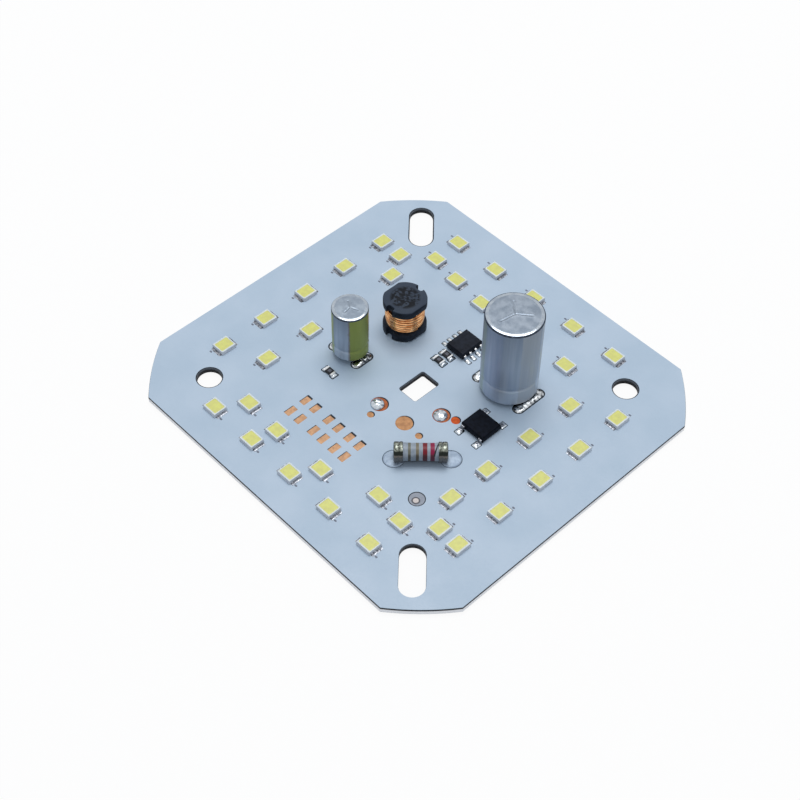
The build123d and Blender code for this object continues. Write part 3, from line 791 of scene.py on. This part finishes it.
def core_outline(steps=10):
    """Flange outline: two flats, and two arcs with a round-bottomed notch in the middle of each."""
    radius = CORE_ROUND / 2
    flat_turn = math.degrees(math.acos(CORE_FLAT / CORE_ROUND))
    notch_turn = math.degrees(math.asin(NOTCH[0] / 2 / radius))

    def arc(start):
        sweep = 90 - notch_turn - flat_turn
        turns = [math.radians(start + sweep * step / steps) for step in range(steps + 1)]
        return [radius * Vector((math.cos(turn), math.sin(turn))) for turn in turns]

    half = arc(flat_turn)
    for side in (1, -1):
        for step in range(steps + 1):
            turn = math.radians(-90 * (step if side > 0 else steps - step) / steps)
            half.append(Vector((side * (NOTCH[0] / 2 - NOTCH_R * (1 - math.cos(turn))),
                                radius - NOTCH[1] + NOTCH_R * (1 + math.sin(turn)))))
    half += arc(90 + notch_turn)
    return half + [-point for point in half]


print("flange outline has", len(core_outline()), "points")

# %% Drum core
LID_T, BASE_T, HUB_R, HUB_SINK = 1.6, 1.5, 1.8, 0.1
GROUND_EDGE = 0.22
INK_R, INK_FADE, INK_SWIRL = 2.3, 0.5, 1.1
INKED_FROM = 3.4


def ferrite():
    """Fired ferrite: dull and dark, greyer on its ground top, with a dab of black ink."""
    material = surface("fired_ferrite", "1A1F28", "272E39", 0.9, 0.12, (0.4, 0.55), 0.012, specular=0.08)
    tree = material.node_tree
    x, y, height = axes_from(material, CORE_MIDDLE)
    flat = add(tree, "ShaderNodeCombineXYZ", {0: x, 1: y})
    far = add(tree, "ShaderNodeVectorMath", {0: flat}, operation="LENGTH").outputs["Value"]
    swirl = add(tree, "ShaderNodeTexNoise", {"Vector": flat, "Scale": 1 / (INK_SWIRL * MM), "Detail": 3.0,
                                             "Distortion": 1.5})
    dab = add(tree, "ShaderNodeMapRange", {0: far, 1: (INK_R + INK_FADE) * MM, 2: INK_R * MM})
    blot = add(tree, "ShaderNodeMapRange", {0: swirl, 1: 0.42, 2: 0.5, 3: 0.1, 4: 0.9})
    upper = add(tree, "ShaderNodeMapRange", {0: height, 1: INKED_FROM * MM, 2: (INKED_FROM + 0.1) * MM})
    ink = add(tree, "ShaderNodeMath", {0: dab, 1: blot}, operation="MULTIPLY")
    ink = add(tree, "ShaderNodeMath", {0: ink, 1: upper}, operation="MULTIPLY")
    tint(material, "3C4552", upper)
    tint(material, "07090D", ink)
    return material


def flange(form, low, high):
    """Add one flange with ground edges."""
    levels = ((low, 0.6 * GROUND_EDGE), (low + GROUND_EDGE, 0), (high - GROUND_EDGE, 0),
              (high - 0.07, 0.35 * GROUND_EDGE), (high, GROUND_EDGE))
    form.stack(core_outline(), levels, 0, at(CORE_MIDDLE.x, CORE_MIDDLE.y))


core = Form()
flange(core, CORE_LOW.z, CORE_LOW.z + BASE_T)
flange(core, CORE_HIGH.z - LID_T, CORE_HIGH.z)
core.stack(circle(HUB_R), ((CORE_LOW.z + BASE_T - HUB_SINK, 0), (CORE_HIGH.z - LID_T + HUB_SINK, 0)), 0,
           at(CORE_MIDDLE.x, CORE_MIDDLE.y))
build(core, "ferrite_drum", [ferrite()], "ferrite", "inductor_core")
print("drum core is", round(CORE_HIGH.z - CORE_LOW.z, 1), "mm high")

# %% [markdown]
# ## Geometry trees
# A geometry tree is a recipe with named sizes. `tree_with` starts one, `end_tree` closes it, and `grown` runs
# it on an empty mesh.

# %% Tree helpers
def tree_with(name, **sizes):
    """New geometry tree with a named input for each size, its group input's sockets and its output."""
    tree = bpy.data.node_groups.new(name, "GeometryNodeTree")
    tree.interface.new_socket("Geometry", in_out="OUTPUT", socket_type="NodeSocketGeometry")
    for size, value in sizes.items():
        kind = "NodeSocketInt" if isinstance(value, int) else "NodeSocketFloat"
        tree.interface.new_socket(size, in_out="INPUT", socket_type=kind).default_value = value
    return tree, add(tree, "NodeGroupInput").outputs


def end_tree(tree, shape, material):
    """Make the tree's copies real, paint them and hand them out."""
    real = add(tree, "GeometryNodeRealizeInstances", {0: shape})
    painted = add(tree, "GeometryNodeSetMaterial", {"Geometry": real, "Material": material})
    add(tree, "NodeGroupOutput", {0: painted})
    return tree


def grown(name, tree, **sizes):
    """Mesh that a geometry tree makes with these sizes."""
    holder = bpy.data.objects.new(name, bpy.data.meshes.new(name))
    modifier = holder.modifiers.new("grow", "NODES")
    modifier.node_group = tree
    for item in tree.interface.items_tree:
        if item.in_out == "INPUT" and item.name in sizes:
            modifier[item.identifier] = sizes[item.name]
    return plain_mesh(holder)


print("geometry trees are ready")

# %% [markdown]
# ## Inductor winding
# The winding is one enamelled wire laid turn on turn, a little loosely. A spiral that a rule bends into a
# barrel is just that, so Geometry Nodes makes it: a spiral curve, a push outwards that follows the height, a
# small wobble, and a round section swept along it. The real wire is finer: 0.5 mm is as fine as shows.

# %% Winding
WIRE_R, TURN_GAP, STAND_OUT = 0.25, 1.025, 0.04
BULGE, WOBBLE, LUMP = 0.25, 0.06, 420.0
UNDER, UNDER_STEPS = 0.3, 12
WIND_LOW, WIND_HIGH, WIND_MIDDLE = span("inductor_winding")
WIND_R = (WIND_HIGH.x - WIND_LOW.x) / 2
WIND_H = WIND_HIGH.z - WIND_LOW.z - 2 * WIRE_R


def winding_tree():
    """Barrel of wire: a spiral bent to a barrel with a round section."""
    tree, sizes = tree_with("barrel_winding", Turns=8.0, Radius=3.0, Height=3.6, Bulge=0.4, Wire=0.24,
                            Wobble=0.08)
    spiral = add(tree, "GeometryNodeCurveSpiral",
                 {"Resolution": 64, "Rotations": sizes["Turns"], "Height": sizes["Height"],
                  "Start Radius": sizes["Radius"], "End Radius": sizes["Radius"]})
    spot = add(tree, "GeometryNodeInputPosition")
    x, y, height = add(tree, "ShaderNodeSeparateXYZ", {0: spot}).outputs
    share = add(tree, "ShaderNodeMath", {0: height, 1: sizes["Height"]}, operation="DIVIDE")
    centred = add(tree, "ShaderNodeMath", {0: share, 1: 0.5}, operation="SUBTRACT")
    squared = add(tree, "ShaderNodeMath", {0: centred, 1: centred}, operation="MULTIPLY")
    pull = add(tree, "ShaderNodeMath", {0: squared, 1: -4.0}, operation="MULTIPLY")
    lumps = add(tree, "ShaderNodeTexNoise", {"Vector": spot, "Scale": LUMP, "Detail": 1.0})
    lumps = add(tree, "ShaderNodeMath", {0: lumps, 1: 0.5}, operation="SUBTRACT")
    lumps = add(tree, "ShaderNodeMath", {0: lumps, 1: sizes["Wobble"]}, operation="MULTIPLY")
    push = add(tree, "ShaderNodeMath", {0: pull, 1: sizes["Bulge"], 2: lumps}, operation="MULTIPLY_ADD")
    flat = add(tree, "ShaderNodeCombineXYZ", {0: x, 1: y})
    outwards = add(tree, "ShaderNodeVectorMath", {0: flat}, operation="NORMALIZE")
    offset = add(tree, "ShaderNodeVectorMath", {0: outwards, "Scale": push}, operation="SCALE")
    bent = add(tree, "GeometryNodeSetPosition", {"Geometry": spiral, "Offset": offset})
    section = add(tree, "GeometryNodeCurvePrimitiveCircle", {"Resolution": 10, "Radius": sizes["Wire"]})
    swept = add(tree, "GeometryNodeCurveToMesh", {"Curve": bent, "Profile Curve": section, "Fill Caps": True})
    return end_tree(tree, swept, enamelled_copper)


mesh = grown("outer_turns", winding_tree(), Turns=WIND_H / (2 * TURN_GAP * WIRE_R), Height=WIND_H * MM,
             Radius=(WIND_R - WIRE_R + STAND_OUT) * MM, Bulge=BULGE * MM, Wire=WIRE_R * MM, Wobble=WOBBLE * MM)
mesh.transform(Matrix.Translation(Vector((*WIND_MIDDLE.xy, WIND_LOW.z + WIRE_R)) * MM))
settle(mesh, "outer_turns", "enamelled_wire", "inductor_winding", sharp=80)
under = Form()
under.loft([level(circle(WIND_R - UNDER - BULGE * (2 * step / UNDER_STEPS - 1) ** 2),
                  WIND_LOW.z + WIND_H * step / UNDER_STEPS + 0.2) for step in range(UNDER_STEPS + 1)],
           0, at(WIND_MIDDLE.x, WIND_MIDDLE.y))
build(under, "inner_turns", [inner_copper_painted_shade], "enamelled_wire", "inductor_winding")
print("winding has", len(mesh.polygons), "faces")

# %% [markdown]
# ## Chip and rectifier
# Both are moulded epoxy bodies with draft above and below the parting line, and flat leads that are bent twice
# into feet. The leads repeat along each side, so Geometry Nodes sets copies of one lead in two rows.

# %% Lead rows
FOLD_R, LEAD_SINK, SHOULDER, LEAD_EDGE = 0.16, 0.3, 0.2, 0.03


def lead_object(name, start, parting, span_x, width, thick, foot):
    """One bent lead towards +X as a ribbon with a round fold at each bend."""
    toe, half = span_x / 2, thick / 2
    centre = [Vector((start - LEAD_SINK, parting)), Vector((start + SHOULDER, parting)),
              Vector((toe - foot, half)), Vector((toe, half))]
    path = [centre[0]]
    for before, here, after in zip(centre, centre[1:], centre[2:]):
        back, ahead = (before - here).normalized(), (after - here).normalized()
        for share in (0, 0.25, 0.5, 0.75, 1):
            path.append(here + FOLD_R * ((1 - share) ** 2 * back + share ** 2 * ahead))
    path.append(centre[-1])
    upper, lower = [], []
    for index, here in enumerate(path):
        run = (path[min(index + 1, len(path) - 1)] - path[max(index - 1, 0)]).normalized()
        side = Vector((-run.y, run.x)) * half
        upper.append(here + side)
        lower.append(here - side)
    ring = lower + upper[::-1]
    stack = ((width / 2, LEAD_EDGE), (width / 2 - LEAD_EDGE, 0), (LEAD_EDGE - width / 2, 0),
             (-width / 2, LEAD_EDGE))
    form = Form()
    form.loft([[(p.x, y, p.y) for p in inset(ring, deep)] for y, deep in stack])
    return bpy.data.objects.new(name, mesh_of(form, name))


def lead_tree(lead, metal):
    """Two facing rows of one lead."""
    tree, sizes = tree_with("lead_rows", Count=4, Pitch=1.27)
    step = add(tree, "ShaderNodeCombineXYZ", {1: sizes["Pitch"]})
    gaps = add(tree, "ShaderNodeMath", {0: sizes["Count"], 1: 1.0}, operation="SUBTRACT")
    length = add(tree, "ShaderNodeMath", {0: gaps, 1: sizes["Pitch"]}, operation="MULTIPLY")
    back = add(tree, "ShaderNodeMath", {0: length, 1: -0.5}, operation="MULTIPLY")
    start = add(tree, "ShaderNodeCombineXYZ", {1: back})
    line = add(tree, "GeometryNodeMeshLine", {"Count": sizes["Count"], "Start Location": start, "Offset": step})
    shape = add(tree, "GeometryNodeObjectInfo", {"Object": lead}).outputs["Geometry"]
    row = add(tree, "GeometryNodeInstanceOnPoints", {"Points": line, "Instance": shape})
    other = add(tree, "GeometryNodeTransform", {"Geometry": row, "Rotation": (0, 0, math.pi)})
    both = add(tree, "GeometryNodeJoinGeometry", {0: row})
    tree.links.new(other.outputs[0], both.inputs[0])
    return end_tree(tree, both, metal)


print("a fold is", FOLD_R, "mm round")

# %% Moulded bodies
DIMPLE_R, DIMPLE_DEPTH, DIMPLE_EDGE = 0.35, 0.05, 0.06
BODY_LIFT, BODY_DRAFT, PARTING = 0.1, 8, 0.02


def moulded(name, solids, size, height, turn, leads, dimple, epoxy, metal):
    """Body and leads of one package. leads: count, pitch, span, width, thickness and foot length."""
    middle = span(f"{solids}_body")[2]
    half = (height - BODY_LIFT) / 2
    parting = BODY_LIFT + half
    draft = half * math.tan(math.radians(BODY_DRAFT))
    outline = rectangle(*size, 0.08)
    levels = ((BODY_LIFT, draft + 0.05), (BODY_LIFT + 0.04, draft), (parting - PARTING, 0.01),
              (parting + PARTING, 0.01), (height - 0.06, draft), (height - 0.02, draft + 0.02),
              (height, draft + 0.06))
    form = Form()
    place = at(middle.x, middle.y, TOP, turn)
    form.stack(outline, levels, 0, place, high=False)
    mark = shifted(circle(DIMPLE_R, 24), *dimple)
    form.fill((inset(outline, levels[-1][1]), mark), height, 0, place)
    form.stack(mark, ((height - DIMPLE_DEPTH, DIMPLE_EDGE), (height, 0)), 0, place, high=False)
    build(form, f"{name}_body", [epoxy], "black_epoxy", f"{solids}_body", sharp=25)

    count, pitch, *bend = leads
    lead = lead_object(f"{name}_lead", size[0] / 2, parting, *bend)
    mesh = grown(f"{name}_leads", lead_tree(lead, metal), Count=count, Pitch=pitch * MM)
    bpy.data.objects.remove(lead)
    mesh.transform(Matrix.Translation(Vector((*middle.xy, TOP)) * MM)
                   @ Matrix.Rotation(math.radians(turn), 4, "Z"))
    settle(mesh, f"{name}_leads", "tinned_leads", f"{solids}_leads")
    print(name, "has", 2 * count, "leads")


moulded("chip", "driver_chip", (3.9, 4.9), 1.45, 0, (4, 1.27, 6.0, 0.42, 0.2, 0.65), (1.25, -1.75),
        black_epoxy, tinned_wire)
moulded("rectifier", "bridge_rectifier", (4.4, 5.0), 1.35, 90, (2, 4.0, 6.6, 0.7, 0.22, 0.75), (1.5, 1.8),
        dark_epoxy, dull_and_painted_dark_tin)

# %% [markdown]
# ## Fusible resistor
# A ceramic rod wears a pressed cap on each end and is dipped in lacquer between them. Its value is four colour
# bands, a code that is the same for every maker. Rings of their own could make the bands, but paint has no
# thickness, so they are painted by the distance along the rod, and darker where the rod turns from the light.

# %% Lacquer
BANDS = ((-1.86, 0.42, "6A6A5C"), (-0.56, 0.46, "746C58"), (0.68, 0.72, "70081A"), (1.9, 0.68, "860B3C"))
# A thin dark line painted at a slant across the rod: its lean, its distance along the rod, and the half widths
# and the heights where it starts and is full.
SLANT, SLANT_AT, SLANT_W, SLANT_FROM = -0.37, 2.7, (0.16, 0.1), (0.58, 0.68)
# A shade's colour, the heights where it starts and is full, and its share there.
BAND_SHADE = ("1C1A1E", 1.05, 0.75, 0.6)
ROD_SHADES = (("14181E", 1.0, 0.6, 0.2), ("0E1218", -0.35, -0.6, 1.0))
CAP_SHADES = (("262A28", 1.5, 1.35, 1.0), ("6A6664", 0.95, 0.75, 1.0))
# How far past a band's edge its colour starts and is full.
BAND_SOFT = (0.04, -0.02)


def lacquer():
    """Pale lacquer, half glossy, with four colour bands, which lie across the rod."""
    material = surface("dipped_lacquer", "86919C", "9EA8B2", 0.8, 0.15, (0.35, 0.45), 0.006, specular=0.3)
    tree = material.node_tree
    along, across, height = axes_from(material, ROD_AT, ROD_TURN)
    dark, start, full, most = BAND_SHADE
    lower = add(tree, "ShaderNodeMapRange", {0: height, 1: start * MM, 2: full * MM, 4: most})
    for centre, width, code in BANDS:
        away = add(tree, "ShaderNodeMath", {0: along, 1: centre * MM}, operation="SUBTRACT")
        away = add(tree, "ShaderNodeMath", {0: away}, operation="ABSOLUTE")
        outside, inside = [(width / 2 + soft) * MM for soft in BAND_SOFT]
        band = add(tree, "ShaderNodeMapRange", {0: away, 1: outside, 2: inside})
        tint(material, code, band)
        tint(material, dark, add(tree, "ShaderNodeMath", {0: band, 1: lower}, operation="MULTIPLY"))
    past = add(tree, "ShaderNodeMath", {0: across, 1: SLANT, 2: along}, operation="MULTIPLY_ADD")
    past = add(tree, "ShaderNodeMath", {0: past, 1: SLANT_AT * MM}, operation="SUBTRACT")
    past = add(tree, "ShaderNodeMath", {0: past}, operation="ABSOLUTE")
    line = add(tree, "ShaderNodeMapRange", {0: past, 1: SLANT_W[0] * MM, 2: SLANT_W[1] * MM})
    above = add(tree, "ShaderNodeMapRange", {0: height, 1: SLANT_FROM[0] * MM, 2: SLANT_FROM[1] * MM})
    tint(material, "1A1D22", add(tree, "ShaderNodeMath", {0: line, 1: above}, operation="MULTIPLY"))
    for code, start, full, most in ROD_SHADES:
        tint(material, code, height, start * MM, full * MM, most)
    return material


# Pressed tin plate: crumpled and bright on top, and below it painted reflections: a dark band, then a
# grey-brown one of the board.
cap_metal = surface("pressed_tinned_cap", "4C504A", "9CA298", 0.5, 0.2, (0.16, 0.3), 0.03, 1.0)
for code, start, full, most in CAP_SHADES:
    tint(cap_metal, code, axes_from(cap_metal, ROD_AT)[2], start * MM, full * MM, most)
print(len(BANDS), "colour bands")

# %% Rod and caps
ROD_L, ROD_R = 8.9, 1.575
CAP_R, CAP_L = 1.75, 1.55
END, MOUTH = ROD_L / 2, ROD_L / 2 - CAP_L
# Each profile is (distance along, depth below the radius) pairs.
ROD_STACK = ((-END + 0.3, 0.3), (-END + 0.5, 0), (-2.6, 0), (-2.3, 0.04), (0, 0.06), (2.3, 0.04), (2.6, 0),
             (END - 0.5, 0), (END - 0.3, 0.3))
CAP_STACK = ((MOUTH + 0.02, CAP_R - ROD_R + 0.05), (MOUTH, 0.08), (MOUTH + 0.08, 0), (MOUTH + 0.5, 0.02),
             (MOUTH + 0.62, 0.09), (MOUTH + 0.74, 0.02), (END - 0.3, 0), (END - 0.1, 0.08), (END, 0.3),
             (END - 0.02, CAP_R - 0.6), (END, CAP_R - 0.5), (END, CAP_R - 0.1))

place = at(*ROD_AT, ROD_TURN) @ Matrix.Rotation(math.radians(90), 4, "Y")
rod, caps = Form(), Form()
rod.loft([level(circle(ROD_R - depth), along) for along, depth in ROD_STACK], 0, place)
for flip in (0, math.pi):
    caps.loft([level(circle(CAP_R - depth), along) for along, depth in CAP_STACK], 0,
              place @ Matrix.Rotation(flip, 4, "X"))
build(rod, "lacquered_rod", [lacquer()], "resistor_coating", "fusible_resistor_body")
build(caps, "pressed_caps", [cap_metal], "tinned_leads", "fusible_resistor_caps")
print("rod is", ROD_L, "mm long")

# %% [markdown]
# ## Chip resistors
# Each is a small ceramic tile with a black glazed face and a plated end at both sides. The plating wraps round
# the tile, so it stands a little proud of it. Blocks with soft edges are enough at this size.

# %% Chip resistors
TILE, TILE_END = (2.0, 1.25, 0.5), 0.38
WINDOW = (0.62, 0.6)


def block(form, length, width, low, high, edge, tone, place):
    """Add a block with soft edges."""
    levels = ((low, edge), (low + edge, 0), (high - edge, 0), (high, edge))
    form.stack(rectangle(length, width, edge * 1.5, 3), levels, tone, place)


tiles, tile_ends = Form(), Form()
length, width, height = TILE
for x, y in TILES:
    block(tiles, length - 2 * TILE_END, width - 0.08, 0.02, height - 0.03, 0.03, 0, at(x, y, TOP))
    block(tiles, *WINDOW, height - 0.06, height - 0.015, 0.01, 1, at(x, y, TOP))
    for side in (-1, 1):
        block(tile_ends, TILE_END, width, 0.02, height, 0.05, 0, at(x + side * (length - TILE_END) / 2, y, TOP))
build(tiles, "glazed_tiles", [glazed_ceramic, grey_middle_glaze], "resistor_ceramic", "chip_resistor_bodies")
build(tile_ends, "plated_ends", [tinned_wire], "tinned_leads", "chip_resistor_ends")
print(len(TILES), "chip resistors")

# %% [markdown]
# ## Solder
# Solder wets its pad and climbs a little up the metal, with a shiny, uneven skin. Each joint is a low mound
# over its pad's outline, its height a smooth rise to the middle with some noise, and more where a lead lies in
# it. Metaballs would flow more freely, but a mound keeps exactly to its pad.

# %% Solder mounds
MOUND_RINGS, WALL = 14, 0.05
POOL_H, DROP_H = 0.33, 0.67
# Radius, place, fullness and unevenness of the two drops on the wire lands.
DROPS = ((1.22, -1.1, -8.2, 0.5, 0.14), (1.25, 7.84, -2.19, 0.55, 0.12))
joints = Form()


def mound(outline, x, y, height, fullness, lumps, base=FLOOR, tone=0):
    """Add one mound. A low fullness gives a flat-topped pool, a high one a pointed drop."""
    loops = [level(outline, 0.0), level(outline, WALL)]
    for ring in range(1, MOUND_RINGS + 1):
        share = 1 - ring / (MOUND_RINGS + 0.6)
        rise = WALL + height * (1 - share ** 2) ** fullness
        loop = []
        for point in outline:
            spot = point * share
            bump = lumps * (1 - share) * noise.noise(Vector((spot.x + x, spot.y + y, 1.7)) * 1.6)
            loop.append((*spot, rise + bump))
        loops.append(loop)
    joints.loft(loops, tone, at(x, y, base))


for name, x, y in can_pads:
    width, length, _, _, height, lumps = CAN_PADS[name]
    mound(obround(width, length), x, y, height, 0.45, lumps, tone=2)
for x, y in POOLS:
    mound(circle(POOL_R, 40), x, y, POOL_H, 0.35, 0.05, tone=1)
for kind, x, y in FEET:
    length, width, _, rise = FOOT[kind]
    mound(rectangle(length, width, 0.2), x, y, rise, 0.6, 0.04)
for radius, x, y, fullness, lumps in DROPS:
    mound(circle(radius, 40), x, y, DROP_H, fullness, lumps, FLOOR + FOIL_T)
build(joints, "solder_pools", [solder, fluxed_solder_painted_reflection, solder_painted_reflections], "solder", "solder_joints", sharp=70)
print("solder has", len(joints.faces), "faces")

# %% [markdown]
# ## Solids that keep their shape
# The rubber seals and the inductor's terminals have their right shape already, so they only get a material.

# %% Materials for the remaining solids
for node, material in (("bulk_capacitor_seal", rubber), ("filter_capacitor_seal", rubber),
                       ("inductor_terminals", tinned_wire)):
    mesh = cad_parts[node].data
    mesh.materials.clear()
    mesh.materials.append(material)
print("seals and terminals painted")

# %% [markdown]
# ## Floor, light and background
# The module was photographed for a shop, cut out on white. A large pale floor looks white to the camera and to
# mirror-like metal, and keeps a weak shadow. The light is a soft panel above and a dim even sky, which together
# show a colour about as it is written.

# %% World and floor
FLOOR_SIZE, FLOOR_DROP = 1.6, 0.0002
SKY = 0.56
WHITE_SHARE = 0.92


def seen(tree):
    """1 for rays from the camera, from a mirror or through glass."""
    path = add(tree, "ShaderNodeLightPath").outputs
    first = add(tree, "ShaderNodeMath", {0: path["Is Camera Ray"], 1: path["Is Glossy Ray"]},
                operation="MAXIMUM")
    return add(tree, "ShaderNodeMath", {0: first, 1: path["Is Transmission Ray"]}, operation="MAXIMUM")


world = bpy.data.worlds.new("studio")
bpy.context.scene.world = world
world.use_nodes = True
sky = world.node_tree
dim = add(sky, "ShaderNodeBackground", {"Color": linear("E8EEF8"), "Strength": SKY})
white = add(sky, "ShaderNodeBackground", {"Color": (1, 1, 1, 1), "Strength": 1.0})
blend = add(sky, "ShaderNodeMixShader", {0: seen(sky), 1: dim, 2: white})
sky.links.new(blend.outputs[0], sky.nodes["World Output"].inputs["Surface"])

# Matt paper with a faint fibre, which the camera and mirrors see as almost white.
paper = bpy.data.materials.new("white_paper")
paper.use_nodes = True
tree = paper.node_tree
fibre = add(tree, "ShaderNodeTexNoise", {"Scale": 900.0, "Detail": 3.0})
shade = add(tree, "ShaderNodeMix", {0: fibre, MIX_A: linear("EFEFEF"), MIX_B: linear("F8F8F8")},
            data_type="RGBA")
lit = add(tree, "ShaderNodeBsdfDiffuse", {"Color": shade.outputs[MIX_OUT]})
glow = add(tree, "ShaderNodeEmission", {"Color": (1, 1, 1, 1), "Strength": 1.0})
share = add(tree, "ShaderNodeMath", {0: seen(tree), 1: WHITE_SHARE}, operation="MULTIPLY")
both = add(tree, "ShaderNodeMixShader", {0: share, 1: lit, 2: glow})
tree.links.new(both.outputs[0], tree.nodes["Material Output"].inputs["Surface"])

sheet = bpy.data.meshes.new("floor")
sheet.from_pydata([(x * FLOOR_SIZE / 2, y * FLOOR_SIZE / 2, 0) for x, y in QUARTERS], [], [(0, 1, 2, 3)])
sheet.materials.append(paper)
floor = bpy.data.objects.new("floor", sheet)
floor.location.z = -FLOOR_DROP
bpy.context.scene.collection.objects.link(floor)
print("floor is", FLOOR_SIZE, "m wide")

# %% Panel of light
PANEL_POWER, PANEL_SIZE = 2.8, 0.5
PANEL_AT = Vector((-0.12, 0.16, 0.72))

light = bpy.data.lights.new("panel", "AREA")
light.shape, light.size, light.energy = "DISK", PANEL_SIZE, PANEL_POWER
panel = bpy.data.objects.new("panel", light)
panel.matrix_world = Matrix.Translation(PANEL_AT) @ (-PANEL_AT).to_track_quat("-Z", "Y").to_matrix().to_4x4()
bpy.context.scene.collection.objects.link(panel)
bpy.context.scene.view_settings.view_transform = "Standard"
print("one panel of", PANEL_POWER, "W and a sky of", SKY)
